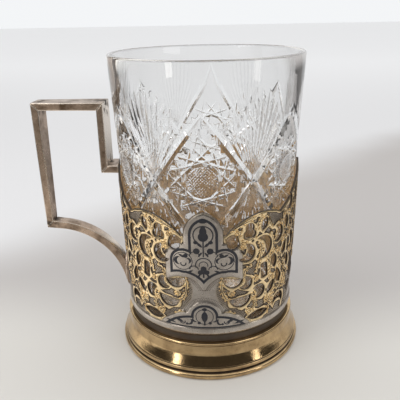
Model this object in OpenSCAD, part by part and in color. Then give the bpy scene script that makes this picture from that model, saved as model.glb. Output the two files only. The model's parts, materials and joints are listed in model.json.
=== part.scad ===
// Tea glass holder of partly gilt silver with its cut crystal glass.
// The axis of the glass is Z, the table is at 0, the front medallion faces -Y and the handle points to -X.

/* [Sleeve] */
// Outer radius of the pierced sleeve where it leaves the neck
sleeve_r = 33; // [31:0.5:36]
// How much wider the sleeve is at the height of its side peaks
sleeve_spread_w = 1.6; // [1:0.2:3]
// Thickness of the rolled sheet
sheet = 0.8; // [0.6:0.1:1.2]
// Height of the side peaks above the table
peak_z = 75.5; // [72:0.5:82]
// Half width of a side peak where it runs out in the rim, as a share of the sleeve's radius
peak_half_share = 0.848; // [0.8:0.01:0.92]
// Height of the gilt arches above the table
arch_z = 63.8; // [61:0.2:66]
// Radius of a gilt arch, as a share of the sleeve's radius
arch_share = 0.536; // [0.5:0.01:0.58]
// Angle of each gilt arch from the front or the back
arch_angle = 37.5; // [34:0.5:41]
// Height of the plain rim between the arches and the medallions
shoulder_z = 57; // [54:0.5:59]
// Depth of the engraved beds that hold the niello
niello_depth = 0.3; // [0.2:0.05:0.5]

/* [Medallion] */
// Height of the widest place of the top lobe
lobe_z = 57.5; // [56:0.1:59]
// Half width of the top lobe
lobe_half_w = 5.1; // [4.4:0.1:5.6]
// Rise of the pointed top lobe above its widest place
lobe_rise = 6.4; // [5.5:0.1:7]
// Radius of the two side lobes
side_lobe_r = 4.8; // [4.3:0.1:5.2]
// Distance of the side lobes from the middle
side_lobe_x = 7; // [6.4:0.1:7.4]
// Height of the side lobes
side_lobe_z = 47.6; // [47:0.1:48.2]
// Radius of the two scoops that cut the foot of the trefoil
scoop_r = 9.6; // [9.2:0.1:10]
// Distance of the scoops from the middle
scoop_x = 8; // [7.8:0.1:8.4]
// Height of the centres of the scoops
scoop_z = 33.4; // [33:0.1:33.8]
// Width of the silver border outside the niello line
border_w = 1.8; // [1.4:0.1:2.2]
// Width of the thick niello line
niello_line = 0.95; // [0.7:0.05:1.2]

/* [Lunette] */
// Height of the lower line of the lunette
lunette_z = 20.4; // [19.5:0.1:21.5]
// Half length of the lower line
lunette_half_w = 18.4; // [17:0.1:19]
// Radius of the middle lobe
lunette_lobe_r = 4.9; // [4.4:0.1:5.4]
// Height of the centre of the middle lobe above the lower line
lunette_lobe_rise = 4.9; // [4.5:0.1:5.4]
// Radius of the curve over each wing
wing_r = 12.7; // [12.4:0.1:13]
// Distance of the centre of the wing curve from the middle
wing_x = 4.5; // [4.2:0.1:4.8]
// How far the centre of the wing curve lies below the lower line
wing_drop = 7.6; // [7.4:0.1:7.8]

/* [Foot] */
// How far the bottom ring stands out from the foot of the moulding
ring_step = 1.25; // [0.75:0.25:3]
// Height of the plain bead of the bottom ring
ring_bead_h = 2.3; // [1.8:0.1:2.8]
// Depth of the groove above the bead
ring_groove = 1.2; // [0.8:0.1:1.4]
// Height of the groove
ring_groove_h = 0.9; // [0.6:0.1:1.2]
// Height of the small fillet above the groove
ring_fillet_h = 1.2; // [0.9:0.1:1.5]
// How far the fillet stands in from the bead
ring_fillet_in = 0.9; // [0.6:0.1:1.1]
// Radial width of the bottom ring
ring_w = 3.5; // [3:0.1:3.9]
// Height of the spun moulding
moulding_h = 9.5; // [9:0.25:12]
// Wall of the spun moulding
moulding_wall = 1; // [0.8:0.1:1.2]
// How far the hollow sweep spreads from the upright band to the foot of the moulding
sweep_w = 1.5; // [1:0.1:2.4]
// How far the foot of the upright band stands out from the sleeve
waist_out = 1; // [0.6:0.1:1.4]
// Height of the upright band of the moulding
moulding_band_h = 4.6; // [4:0.1:5]
// How far the top bead stands out from the neck
bead_out = 1.1; // [0.8:0.1:1.4]
// Width of the ledge that the moulding turns in under the sleeve
ledge_w = 4.2; // [3.6:0.1:5]
// Height of the dark neck between moulding and sleeve
neck_h = 3.8; // [3:0.2:5]
// How far the neck lies inside the sleeve
neck_in = 0.7; // [0.5:0.1:0.9]
// Thickness of the floor plate
floor_t = 0.9; // [0.7:0.1:1.2]

/* [Handle] */
// Thickness of the handle strap
strap_t = 2.9; // [2.4:0.1:3.4]
// Thickness of the riser beside the glass
riser_t = 2.6; // [2.2:0.1:3]
// Depth of the strap at the stub and the riser
strap_deep = 10.6; // [9:0.2:12]
// Depth of the strap at the upper end of the grip
grip_deep = 8.8; // [7:0.2:9]
// Depth of the strap at the lower end of the grip
arm_deep = 5; // [4:0.2:6]
// Height of the top of the handle
handle_top_z = 97.4; // [95:0.2:102]
// Distance of the outer face of the grip from the axis
grip_reach = 66; // [65:0.5:70]
// Gap between the riser and the glass side of the sleeve
riser_gap = 3.7; // [3:0.1:5]
// Height of the underside of the stub
stub_z = 70.5; // [69:0.1:72]
// Height of the outer lower corner of the grip
corner_z = 46.3; // [45:0.1:50]
// Length of the flat run from the outer face of the grip to the bend of the arm
arm_flat = 3.7; // [3.2:0.1:6]
// Slope of the flat run in degrees
arm_slope = 4; // [2:1:8]
// Angle in degrees at which the tip of the bend ends on the saddle
arm_tip_angle = 80; // [76:1:82]
// Thickness of the saddle plate that carries the arm
saddle_t = 1.3; // [1:0.1:1.6]
// Width of the saddle plate
saddle_w = 8.4; // [7:0.2:10]
// Height of the saddle plate's lower tip
saddle_z = 19.4; // [18.6:0.1:21]
// Length of the saddle plate
saddle_len = 15; // [14:0.5:17]

/* [Glass] */
// Gap between the glass and the sleeve at the side peaks
glass_gap = 0.3; // [0.2:0.05:0.6]
// Height of the rim of the glass above the table
rim_z = 115; // [110:0.5:120]
// How much wider the rim is than the glass at the side peaks
rim_spread_w = 2.2; // [1.6:0.1:3]
// Wall of the glass in the cut zone
glass_wall = 2.4; // [2:0.1:3]
// Wall of the glass at the rim
rim_wall = 1.4; // [1.1:0.1:1.8]
// Thickness of the base of the glass
glass_base = 6.5; // [5:0.5:8]
// Radius of the rounded edge under the glass
glass_round = 2; // [1.5:0.25:3]
// Height of the rim where the plain band begins
plain_z = 108; // [105:0.5:109]

/* [Hidden] */
$fn = 96;
overrun = 1;

// Heights that follow from the foot.
ring_h = ring_bead_h + ring_groove_h + ring_fillet_h;
foot_h = ring_h + moulding_h;
sleeve_z = foot_h + neck_h;
floor_z = foot_h + floor_t;
neck_r = sleeve_r - neck_in;
waist_r = sleeve_r + waist_out;
sweep_foot_r = waist_r + sweep_w;
ring_r = sweep_foot_r + ring_step;

// The sleeve and the glass are cones: radius at a height.
sleeve_h = peak_z - sleeve_z;
function wall_r(z) = sleeve_r + sleeve_spread_w * (z - sleeve_z) / sleeve_h;
reach = wall_r(peak_z) + overrun;
arch_r = sleeve_r * arch_share;
peak_half_w = sleeve_r * peak_half_share;
back_angle = 180;
side_angle = 90;
glass_peak_r = wall_r(peak_z) - sheet - glass_gap;
rim_r = glass_peak_r + rim_spread_w;
function glass_r(z) = rim_r - rim_spread_w * (rim_z - z) / (rim_z - peak_z);

// A flat outline in width and height, pushed out from the axis through the wall.
module radial(angle) {
    rotate([0, 0, angle])
        rotate([90, 0, 0])
            linear_extrude(reach)
                children();
}

// A conical skin between two offsets from the outer face of the sleeve.
module skin(inner, outer, low, high) {
    rotate_extrude()
        polygon([
            [wall_r(low) + inner, low],
            [wall_r(low) + outer, low],
            [wall_r(high) + outer, high],
            [wall_r(high) + inner, high]
        ]);
}

// Gaps of the pierced work, each of a length and a width.
module leaf_gap(l, w) {
    bow = (l * l + w * w) / (4 * w);
    intersection() {
        translate([bow - w / 2, 0])
            circle(bow);
        translate([w / 2 - bow, 0])
            circle(bow);
    }
}

module comma_gap(l, w) {
    translate([(w - l) / 2, 0])
        difference() {
            circle(l / 2);
            translate([-w, 0])
                circle(l / 2);
        }
}

module petal_gap(l, w) {
    leaf_gap(l, w * 0.8);
    translate([0, (w - l) / 4])
        circle(w / 2);
}

module lobed_gap(l, w) {
    translate([0, l / 4])
        circle(l / 4);
    for (side = [-1, 1])
        translate([side * w / 4, -l / 8])
            circle(w * 0.36);
}

module half_gap(l, w) {
    intersection() {
        translate([0, w / 2])
            circle(l / 2);
        translate([-l / 2, -w])
            square([l, w * 1.5]);
    }
}

module bar_gap(l, w) {
    intersection() {
        circle(l / 2);
        square([w, l], center = true);
    }
}

// One quarter of the pierced work: share of the quarter turn from the medallion, share of the sleeve's
// height, length and width as shares of that height, turn in degrees, and the kind of gap.
gap_shares = [
    [0.192, 0.632, 0.094, 0.072, 15, "bar"],
    [0.310, 0.684, 0.110, 0.068, 0, "lobed"],
    [0.425, 0.716, 0.084, 0.045, -20, "leaf"],
    [0.470, 0.568, 0.150, 0.050, 6, "comma"],
    [0.320, 0.535, 0.118, 0.056, -25, "comma"],
    [0.190, 0.342, 0.122, 0.086, -10, "half"],
    [0.308, 0.334, 0.088, 0.046, -25, "comma"],
    [0.412, 0.266, 0.096, 0.060, 15, "comma"],
    [0.256, 0.214, 0.138, 0.064, 8, "half"],
    [0.435, 0.400, 0.106, 0.050, 5, "bar"],
    [0.395, 0.094, 0.160, 0.060, 94, "leaf"],
    [0.530, 0.440, 0.100, 0.052, 10, "leaf"],
    [0.590, 0.614, 0.112, 0.048, -10, "comma"],
    [0.585, 0.316, 0.120, 0.060, 20, "petal"],
    [0.645, 0.495, 0.104, 0.056, -20, "petal"],
    [0.662, 0.672, 0.098, 0.052, 15, "leaf"],
    [0.722, 0.775, 0.098, 0.045, -35, "comma"],
    [0.830, 0.695, 0.110, 0.050, 0, "petal"],
    [0.790, 0.515, 0.122, 0.052, 10, "comma"],
    [0.505, 0.262, 0.104, 0.046, -35, "leaf"],
    [0.610, 0.160, 0.116, 0.046, 80, "comma"],
    [0.705, 0.385, 0.104, 0.050, 15, "leaf"]
];

module gap_outline(kind, l, w) {
    if (kind == "leaf") leaf_gap(l, w);
    if (kind == "comma") comma_gap(l, w);
    if (kind == "petal") petal_gap(l, w);
    if (kind == "lobed") lobed_gap(l, w);
    if (kind == "half") half_gap(l, w);
    if (kind == "bar") bar_gap(l, w);
}

// A quarter of gaps on the right of the front, mirrored to the other quarters.
module gap_quarter() {
    for (g = gap_shares)
        radial(g[0] * side_angle)
            translate([0, sleeve_z + g[1] * sleeve_h])
                rotate(g[4])
                    gap_outline(g[5], g[2] * sleeve_h, g[3] * sleeve_h);
}

module gap_half() {
    gap_quarter();
    mirror([1, 0, 0])
        gap_quarter();
}

// The trefoil medallion, grown by a width all round.
module medallion(grow) {
    half_w = side_lobe_x + side_lobe_r + grow;
    low = scoop_z + sqrt(scoop_r * scoop_r - scoop_x * scoop_x) / 2;
    rise2 = lobe_rise * lobe_rise;
    bow = (rise2 / lobe_half_w + lobe_half_w) / 2;
    intersection() {
        translate([bow - lobe_half_w, lobe_z])
            circle(bow + grow);
        translate([lobe_half_w - bow, lobe_z])
            circle(bow + grow);
        translate([-half_w, lobe_z])
            square([2 * half_w, 2 * lobe_rise]);
    }
    translate([-lobe_half_w - grow, side_lobe_z])
        square([2 * (lobe_half_w + grow), lobe_z - side_lobe_z]);
    for (side = [-1, 1])
        translate([side * side_lobe_x, side_lobe_z])
            circle(side_lobe_r + grow);
    difference() {
        translate([-half_w, low])
            square([2 * half_w, side_lobe_z - low]);
        for (side = [-1, 1])
            translate([side * scoop_x, scoop_z])
                circle(scoop_r - grow);
    }
}

// The lunette at the foot of the sleeve, grown by a width above its lower line.
module lunette(grow, line) {
    intersection() {
        union() {
            translate([0, lunette_z + lunette_lobe_rise])
                circle(lunette_lobe_r + grow);
            for (side = [-1, 1])
                translate([side * wing_x, lunette_z - wing_drop])
                    circle(wing_r + grow);
        }
        translate([-lunette_half_w, lunette_z + line])
            square([2 * lunette_half_w, 3 * lunette_lobe_r]);
    }
}

// Black figures of niello inside the trefoil.
module medallion_figures() {
    difference() {
        medallion(0);
        medallion(-niello_line);
    }
    translate([0, lobe_z + lobe_rise + niello_line / 2])
        circle(niello_line);
    translate([0, lobe_z + lobe_rise / 8])
        leaf_gap(lobe_rise * 0.8, lobe_half_w * 0.6);
    for (side = [-1, 1]) {
        translate([side * lobe_half_w * 0.42, (lobe_z + side_lobe_z) / 2])
            circle(niello_line);
        translate([side * side_lobe_x * 1.12, side_lobe_z])
            rotate(side > 0 ? -20 : 200)
                comma_gap(side_lobe_r * 1.25, side_lobe_r * 0.42);
    }
    translate([0, (side_lobe_z + scoop_z + scoop_r) / 2])
        lobed_gap(niello_line * 3, niello_line * 3);
}

// Black figures of niello inside the lunette.
module lunette_figures() {
    difference() {
        lunette(0, 0);
        lunette(-niello_line, niello_line / 2);
    }
    translate([0, lunette_z + lunette_lobe_rise + lunette_lobe_r])
        circle(niello_line * 1.1);
    translate([0, lunette_z + lunette_lobe_rise])
        leaf_gap(lunette_lobe_r, lunette_lobe_r * 0.45);
    for (side = [-1, 1]) {
        translate([side * lunette_lobe_r * 0.62, lunette_z + lunette_lobe_rise / 2])
            circle(niello_line * 0.8);
        translate([side * (wing_x + wing_r / 4), lunette_z + wing_drop / 4])
            rotate(side > 0 ? 60 : 120)
                comma_gap(wing_drop / 2, wing_drop / 6);
    }
}

// What of the blank stands after the rim is sawn: the drum, the medallions, the arches and the peaks.
module crown_mask() {
    cylinder(r = reach, h = shoulder_z);
    for (front = [0, back_angle]) {
        radial(front)
            medallion(border_w);
        for (side = [-1, 1])
            radial(front + side * arch_angle)
                translate([0, arch_z - arch_r])
                    circle(arch_r);
        radial(front + side_angle)
            polygon([
                [0, peak_z],
                [-peak_half_w, shoulder_z],
                [-peak_half_w, foot_h],
                [peak_half_w, foot_h],
                [peak_half_w, shoulder_z]
            ]);
    }
}

module sleeve_blank() {
    rotate_extrude()
        polygon([
            [neck_r - sheet, foot_h],
            [neck_r, foot_h],
            [neck_r, sleeve_z - 2 * neck_in],
            [sleeve_r, sleeve_z],
            [wall_r(peak_z), peak_z],
            [wall_r(peak_z) - sheet, peak_z],
            [sleeve_r - sheet, sleeve_z],
            [neck_r - sheet, sleeve_z - 2 * neck_in]
        ]);
}

module pierced_sleeve() {
    color("goldenrod")
        difference() {
            intersection() {
                sleeve_blank();
                crown_mask();
            }
            gap_half();
            mirror([0, 1, 0])
                gap_half();
            for (front = [0, back_angle]) {
                medallion_bed(front, overrun);
                lunette_bed(front, overrun);
            }
        }
}

// The niello fills beds cut into the outer face of the sheet.
module medallion_bed(angle, outer) {
    intersection() {
        skin(-niello_depth, outer, sleeve_z, peak_z);
        radial(angle)
            medallion_figures();
    }
}

module lunette_bed(angle, outer) {
    intersection() {
        skin(-niello_depth, outer, sleeve_z, peak_z);
        radial(angle)
            lunette_figures();
    }
}

module front_medallion_niello() {
    color("midnightblue")
        medallion_bed(0, 0);
}

module back_medallion_niello() {
    color("midnightblue")
        medallion_bed(back_angle, 0);
}

module front_lunette_niello() {
    color("midnightblue")
        lunette_bed(0, 0);
}

module back_lunette_niello() {
    color("midnightblue")
        lunette_bed(back_angle, 0);
}

// Foot: a heavy bottom ring, a spun moulding with a hollow sweep, and the floor plate on its ledge.
module foot_ring() {
    groove_r = ring_r - ring_groove;
    fillet_r = ring_r - ring_fillet_in;
    ease = ring_bead_h / 4;
    color("darkgoldenrod")
        rotate_extrude()
            polygon([
                [ring_r - ring_w, 0],
                [ring_r - ease, 0],
                [ring_r, ease],
                [ring_r, ring_bead_h - ease],
                [ring_r - ease, ring_bead_h],
                [groove_r, ring_bead_h],
                [groove_r, ring_bead_h + ring_groove_h],
                [fillet_r, ring_bead_h + ring_groove_h],
                [fillet_r, ring_h],
                [ring_r - ring_w, ring_h]
            ]);
}

// The moulding's section down to the axis, drawn in by a wall.
module moulding_section(inset) {
    waist_z = foot_h - moulding_band_h;
    sweep_h = waist_z - ring_h;
    sweep_r = (sweep_h * sweep_h + sweep_w * sweep_w) / (2 * sweep_w);
    difference() {
        polygon([
            [0, ring_h],
            [sweep_foot_r - inset, ring_h],
            [sweep_foot_r - inset, waist_z],
            [waist_r - inset, waist_z],
            [neck_r + bead_out - inset, foot_h - moulding_wall / 2],
            [neck_r + bead_out - inset, foot_h - inset],
            [0, foot_h - inset]
        ]);
        translate([waist_r + sweep_r, waist_z])
            circle(sweep_r + inset);
    }
}

module foot_moulding() {
    color("darkgoldenrod")
        difference() {
            rotate_extrude()
                moulding_section(0);
            rotate_extrude()
                moulding_section(moulding_wall);
            cylinder(r = neck_r - ledge_w, h = foot_h + overrun);
        }
}

module floor_plate() {
    color("silver")
        translate([0, 0, foot_h])
            cylinder(r = neck_r - sheet, h = floor_t);
}

// Handle: a mitred strap. Its outline lies in width and height, and its depth runs along Y.
riser_x = wall_r(peak_z) + riser_gap;
stub_top = stub_z + strap_t;
bar_low = handle_top_z - strap_t;
grip_in = grip_reach - strap_t;
riser_out = riser_x + riser_t;
corner_in = corner_z + strap_t;

// An outline of strap, pushed to a full depth and centred on the handle's plane.
module strap(deep) {
    rotate([90, 0, 0])
        linear_extrude(deep, center = true)
            children();
}

// The sleeve's outer cone as a full solid, which copes what is soldered to it.
module cope() {
    rotate_extrude()
        polygon([
            [0, sleeve_z],
            [sleeve_r, sleeve_z],
            [wall_r(peak_z), peak_z],
            [0, peak_z]
        ]);
}

module handle_stub() {
    color("dimgray")
        difference() {
            strap(strap_deep)
                polygon([
                    [-riser_out, stub_z],
                    [-sleeve_r + sheet, stub_z],
                    [-sleeve_r + sheet, stub_top],
                    [-riser_x, stub_top]
                ]);
            cope();
        }
}

module handle_riser() {
    color("dimgray")
        strap(strap_deep)
            polygon([
                [-riser_out, stub_z],
                [-riser_x, stub_top],
                [-riser_x, handle_top_z],
                [-riser_out, bar_low]
            ]);
}

module handle_top_bar() {
    color("dimgray")
        intersection() {
            strap(strap_deep)
                polygon([
                    [-riser_out, bar_low],
                    [-riser_x, handle_top_z],
                    [-grip_reach, handle_top_z],
                    [-grip_in, bar_low]
                ]);
            linear_extrude(handle_top_z)
                polygon([
                    [-riser_x, strap_deep / 2],
                    [-riser_x, -strap_deep / 2],
                    [-grip_reach, -grip_deep / 2],
                    [-grip_reach, grip_deep / 2]
                ]);
        }
}

module handle_grip() {
    color("dimgray")
        intersection() {
            strap(grip_deep)
                polygon([
                    [-grip_reach, handle_top_z],
                    [-grip_reach, corner_z],
                    [-grip_in, corner_in],
                    [-grip_in, bar_low]
                ]);
            rotate([90, 0, -90])
                linear_extrude(grip_reach)
                    polygon([
                        [-grip_deep / 2, handle_top_z],
                        [-arm_deep / 2, corner_z],
                        [arm_deep / 2, corner_z],
                        [grip_deep / 2, handle_top_z]
                    ]);
        }
}

// The arm leaves the lower corner almost level, bends down and ends on the saddle.
bend_x = arm_flat - grip_reach;
arm_bend_r = -bend_x - sleeve_r - saddle_t;
bend_start_z = corner_z - (grip_reach + bend_x + arm_bend_r * sin(arm_slope)) * tan(arm_slope);
bend_z = bend_start_z - arm_bend_r * cos(arm_slope);
arm_out_r = arm_bend_r + strap_t;
function bend_point(r, turn) = [bend_x + r * sin(turn), bend_z + r * cos(turn)];

module handle_arm() {
    color("dimgray")
        difference() {
            strap(arm_deep) {
                polygon([
                    [-grip_in, corner_in],
                    [-grip_reach, corner_z],
                    bend_point(arm_bend_r, arm_slope),
                    bend_point(arm_bend_r + strap_t / 2, 2 * arm_slope),
                    bend_point(arm_out_r, arm_slope)
                ]);
                intersection() {
                    difference() {
                        translate([bend_x, bend_z])
                            circle(arm_out_r);
                        translate([bend_x, bend_z])
                            circle(arm_bend_r);
                    }
                    polygon([
                        [bend_x, bend_z],
                        bend_point(2 * arm_out_r, arm_slope),
                        bend_point(2 * arm_out_r, arm_tip_angle)
                    ]);
                }
            }
            rotate_extrude()
                polygon([
                    [0, sleeve_z],
                    [sleeve_r + saddle_t, sleeve_z],
                    [wall_r(peak_z) + saddle_t, peak_z],
                    [0, peak_z]
                ]);
        }
}

// A leaf shaped plate that lies on the sleeve under the end of the arm.
module handle_saddle() {
    color("dimgray")
        intersection() {
            skin(0, saddle_t, sleeve_z, peak_z);
            radial(-side_angle)
                translate([0, saddle_z + saddle_len / 2])
                    leaf_gap(saddle_len, saddle_w);
        }
}

// The tumbler stands on the floor plate and leaves a gap to the sleeve all round.
module tea_glass() {
    base_r = glass_r(floor_z);
    color("lightcyan", 0.4)
        rotate_extrude()
            difference() {
                polygon([
                    [0, floor_z],
                    [base_r - glass_round, floor_z],
                    [base_r, floor_z + glass_round],
                    [rim_r, rim_z],
                    [0, rim_z]
                ]);
                polygon([
                    [0, floor_z + glass_base],
                    [glass_r(floor_z + glass_base) - glass_wall - glass_round, floor_z + glass_base],
                    [glass_r(floor_z + glass_base) - glass_wall, floor_z + glass_base + glass_round],
                    [glass_r(plain_z) - glass_wall, plain_z],
                    [rim_r - rim_wall, rim_z],
                    [rim_r - rim_wall, rim_z + overrun],
                    [0, rim_z + overrun]
                ]);
            }
}

pierced_sleeve();
front_medallion_niello();
back_medallion_niello();
front_lunette_niello();
back_lunette_niello();
foot_moulding();
foot_ring();
floor_plate();
handle_stub();
handle_riser();
handle_top_bar();
handle_grip();
handle_arm();
handle_saddle();
tea_glass();
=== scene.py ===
# %% [markdown]
# # A tea glass holder
# This is a holder for a glass of hot tea: a drum of sheet silver, partly gilt, pierced with a saw and
# engraved, on a spun foot, with a strap handle and a glass of cut crystal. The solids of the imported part
# give the places and the main sizes. The script builds the finished surfaces round them, one small step
# at a time.

# %% The frame
import json
import math
from collections import namedtuple

import bmesh
import bpy
import numpy as np
from mathutils import Matrix, Vector
from mathutils.geometry import delaunay_2d_cdt

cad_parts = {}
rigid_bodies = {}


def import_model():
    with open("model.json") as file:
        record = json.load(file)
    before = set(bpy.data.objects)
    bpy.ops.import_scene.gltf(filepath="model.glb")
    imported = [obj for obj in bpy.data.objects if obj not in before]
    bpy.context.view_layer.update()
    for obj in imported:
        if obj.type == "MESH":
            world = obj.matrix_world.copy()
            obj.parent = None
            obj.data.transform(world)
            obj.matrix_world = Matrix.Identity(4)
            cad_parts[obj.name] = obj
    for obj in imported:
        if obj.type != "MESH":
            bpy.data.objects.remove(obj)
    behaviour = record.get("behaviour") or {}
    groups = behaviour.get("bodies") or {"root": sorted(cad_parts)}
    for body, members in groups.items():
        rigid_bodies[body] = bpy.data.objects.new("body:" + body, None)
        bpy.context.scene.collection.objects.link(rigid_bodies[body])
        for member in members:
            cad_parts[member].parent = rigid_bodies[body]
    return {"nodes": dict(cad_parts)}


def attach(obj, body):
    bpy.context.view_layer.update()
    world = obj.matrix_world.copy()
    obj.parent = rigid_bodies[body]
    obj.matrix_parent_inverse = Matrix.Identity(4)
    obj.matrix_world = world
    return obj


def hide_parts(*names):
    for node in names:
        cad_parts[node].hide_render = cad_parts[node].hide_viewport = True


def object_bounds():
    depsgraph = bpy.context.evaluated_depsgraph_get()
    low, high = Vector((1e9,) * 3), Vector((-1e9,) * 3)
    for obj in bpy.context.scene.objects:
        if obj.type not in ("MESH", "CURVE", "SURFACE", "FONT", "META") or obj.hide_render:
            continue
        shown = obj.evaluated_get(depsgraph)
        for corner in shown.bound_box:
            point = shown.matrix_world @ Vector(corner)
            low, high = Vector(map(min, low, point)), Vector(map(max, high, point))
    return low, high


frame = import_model()
cad_box = [list(corner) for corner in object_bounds()]
MM = 0.001
print("nodes:", len(frame["nodes"]), "box:", [[round(v, 4) for v in c] for c in cad_box])

# %% [markdown]
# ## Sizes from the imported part
# A node of the part is a plain mesh with its place in its points. Its lowest and highest place and its
# smallest and largest radius are the sizes on which the finished surfaces are built, so that both models
# keep in step.

# %% Measuring a node
def places(mesh):
    """The points of a mesh as a table with a row for each."""
    co = np.empty(3 * len(mesh.vertices))
    mesh.vertices.foreach_get("co", co)
    return co.reshape(-1, 3)


def measure(node):
    """Lowest and highest place, smallest and largest radius, in millimetres to the nearest hundredth."""
    co = places(frame["nodes"][node].data) / MM
    radius = np.hypot(co[:, 0], co[:, 1])
    return [round(float(v), 2) for v in (co[:, 2].min(), co[:, 2].max(), radius.min(), radius.max())]


TABLE_Z, RING_TOP, RING_IN, RING_OUT = measure("foot_ring")
FOOT_Z, PEAK_Z, NECK_R, SLEEVE_TOP_R = measure("pierced_sleeve")
FLOOR_Z, LIP_R = measure("floor_plate")[0], measure("foot_moulding")[2]
GLASS_FOOT_Z, GLASS_RIM_Z, _, GLASS_RIM_R = measure("tea_glass")
print("sleeve from", FOOT_Z, "to", PEAK_Z, "mm, glass from", GLASS_FOOT_Z, "to", GLASS_RIM_Z, "mm")

# %% [markdown]
# ## Where the photographer stood
# The camera was found from the ellipses of the rim and the foot. It looks down by about twenty degrees
# from close by, so the glass grows towards the lens. The place is given in millimetres from the axis of
# the glass, and the small yaw and roll are those of a camera held by hand.

# %% The camera
SENSOR, CAM_LENS, CAM_OUT, CAM_UP = 36, 47.25, 195.9, 129.8
CAM_PITCH, CAM_YAW, CAM_ROLL, CAM_TURN = (math.radians(a) for a in (20.18, -0.97, -1.21, 3.4))


def camera_matrix():
    level = math.cos(CAM_PITCH)
    look = Vector((math.sin(CAM_YAW) * level, math.cos(CAM_YAW) * level, -math.sin(CAM_PITCH)))
    right = look.cross(Vector((0, 0, 1))).normalized()
    up = right.cross(look)
    rolled = right * math.cos(CAM_ROLL) + up * math.sin(CAM_ROLL)
    upper = up * math.cos(CAM_ROLL) - right * math.sin(CAM_ROLL)
    aim = Matrix((rolled, upper, -look)).transposed().to_4x4()
    return Matrix.Rotation(CAM_TURN, 4, "Z") @ Matrix.Translation((0, -CAM_OUT * MM, CAM_UP * MM)) @ aim


camera = bpy.data.objects.new("camera", bpy.data.cameras.new("camera"))
camera.data.sensor_width = SENSOR
camera.data.lens = CAM_LENS
camera.data.clip_start = 10 * MM
camera.matrix_world = camera_matrix()
bpy.context.scene.collection.objects.link(camera)
bpy.context.scene.camera = camera
bpy.context.scene.view_settings.view_transform = "Standard"
print("camera at", [round(v, 4) for v in camera.location])

# %% [markdown]
# ## Small helpers for nodes
# Every material and every tree here is a net of nodes, so a few helpers keep the cells short. They place
# a node or take its first output, do sums, mix colours, turn a value into a soft step, and start a
# material or a group.

# %% Node helpers
def add(tree, kind, inputs=None, **settings):
    """Places a node. An input is a plain value, or the output of another node."""
    node = tree.nodes.new(kind)
    for key, value in settings.items():
        setattr(node, key, value)
    for key, value in (inputs or {}).items():
        if isinstance(value, bpy.types.NodeSocket):
            tree.links.new(value, node.inputs[key])
        else:
            node.inputs[key].default_value = value
    return node


def socket(tree, kind, inputs=None, **settings):
    """Places a node and hands back its first output."""
    return add(tree, kind, inputs, **settings).outputs[0]


def maths(tree, operation, *values):
    return socket(tree, "ShaderNodeMath", dict(enumerate(values)), operation=operation)


def mix(tree, factor, first, second, kind="RGBA"):
    """Mixes two colours, or two numbers where the kind is FLOAT."""
    a, b, result = {"RGBA": (6, 7, 2), "FLOAT": (2, 3, 0)}[kind]
    return add(tree, "ShaderNodeMix", {0: factor, a: first, b: second}, data_type=kind).outputs[result]


def ramp(tree, value, start, end, top=1.0, kind="SMOOTHSTEP"):
    """Nothing where the value is at the start, the top where it is at the end, and a slope between."""
    span = {"Value": value, "From Min": start, "From Max": end, "To Max": top}
    return socket(tree, "ShaderNodeMapRange", span, interpolation_type=kind)


def noise(tree, where, scale, detail, roughness=0.5):
    values = {"Vector": where, "Scale": scale, "Detail": detail, "Roughness": roughness}
    return add(tree, "ShaderNodeTexNoise", values).outputs["Fac"]


def object_place(tree):
    return add(tree, "ShaderNodeTexCoord").outputs["Object"]


def parts(tree, vector):
    return add(tree, "ShaderNodeSeparateXYZ", {0: vector}).outputs


def mirror_ray(tree):
    """One for rays that left a mirroring surface, but not for rays that went through glass."""
    ray = add(tree, "ShaderNodeLightPath").outputs
    outside = maths(tree, "SUBTRACT", 1.0, ray["Is Transmission Ray"])
    return maths(tree, "MULTIPLY", ray["Is Glossy Ray"], outside)


def new_material(name, **values):
    """Starts a material with its shader, whose plain values are given by name."""
    material = bpy.data.materials.new(name)
    material.use_nodes = True
    surface = material.node_tree.nodes["Principled BSDF"]
    for key, value in values.items():
        surface.inputs[key.replace("_", " ")].default_value = value
    return material, material.node_tree, surface


def feed(tree, surface, **sockets):
    for key, value in sockets.items():
        tree.links.new(value, surface.inputs[key.replace("_", " ")])


def new_group(name, kind, sockets_in, sockets_out):
    """Starts a group and hands back what it is given and what it puts out."""
    group = bpy.data.node_groups.new(name, kind)
    for side, sockets in (("INPUT", sockets_in), ("OUTPUT", sockets_out)):
        for label, sort, *default in sockets:
            made = group.interface.new_socket(label, in_out=side, socket_type="NodeSocket" + sort)
            if default:
                made.default_value = default[0]
    return group, group.nodes.new("NodeGroupInput").outputs, group.nodes.new("NodeGroupOutput").inputs


def close_tree(group, given, out, geometry):
    """Ends a tree of geometry: instances become real, because the export drops them, and get the finish."""
    real = socket(group, "GeometryNodeRealizeInstances", {"Geometry": geometry})
    finished = socket(group, "GeometryNodeSetMaterial", {"Geometry": real, "Material": given["Finish"]})
    group.links.new(finished, out[0])
    return group


print("helpers that put out a socket:", [helper.__name__ for helper in (socket, maths, mix, ramp, noise)])

# %% [markdown]
# ## Age on metal
# Old silver and old gilding are never one colour. Broad cloudy patches are darker, small specks have lost
# their shine, and polishing leaves fine scratches. One group makes all three from noise, and each metal
# places it with its own two colours.

# %% The group for aged metal
CLOUD, SPECK, SCRATCH = 160.0, 1500.0, 2600.0
SCRATCH_WAY, SCRATCH_STRETCH = (0.3, 0.5, 0.9), (1, 1, 0.05)


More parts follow.
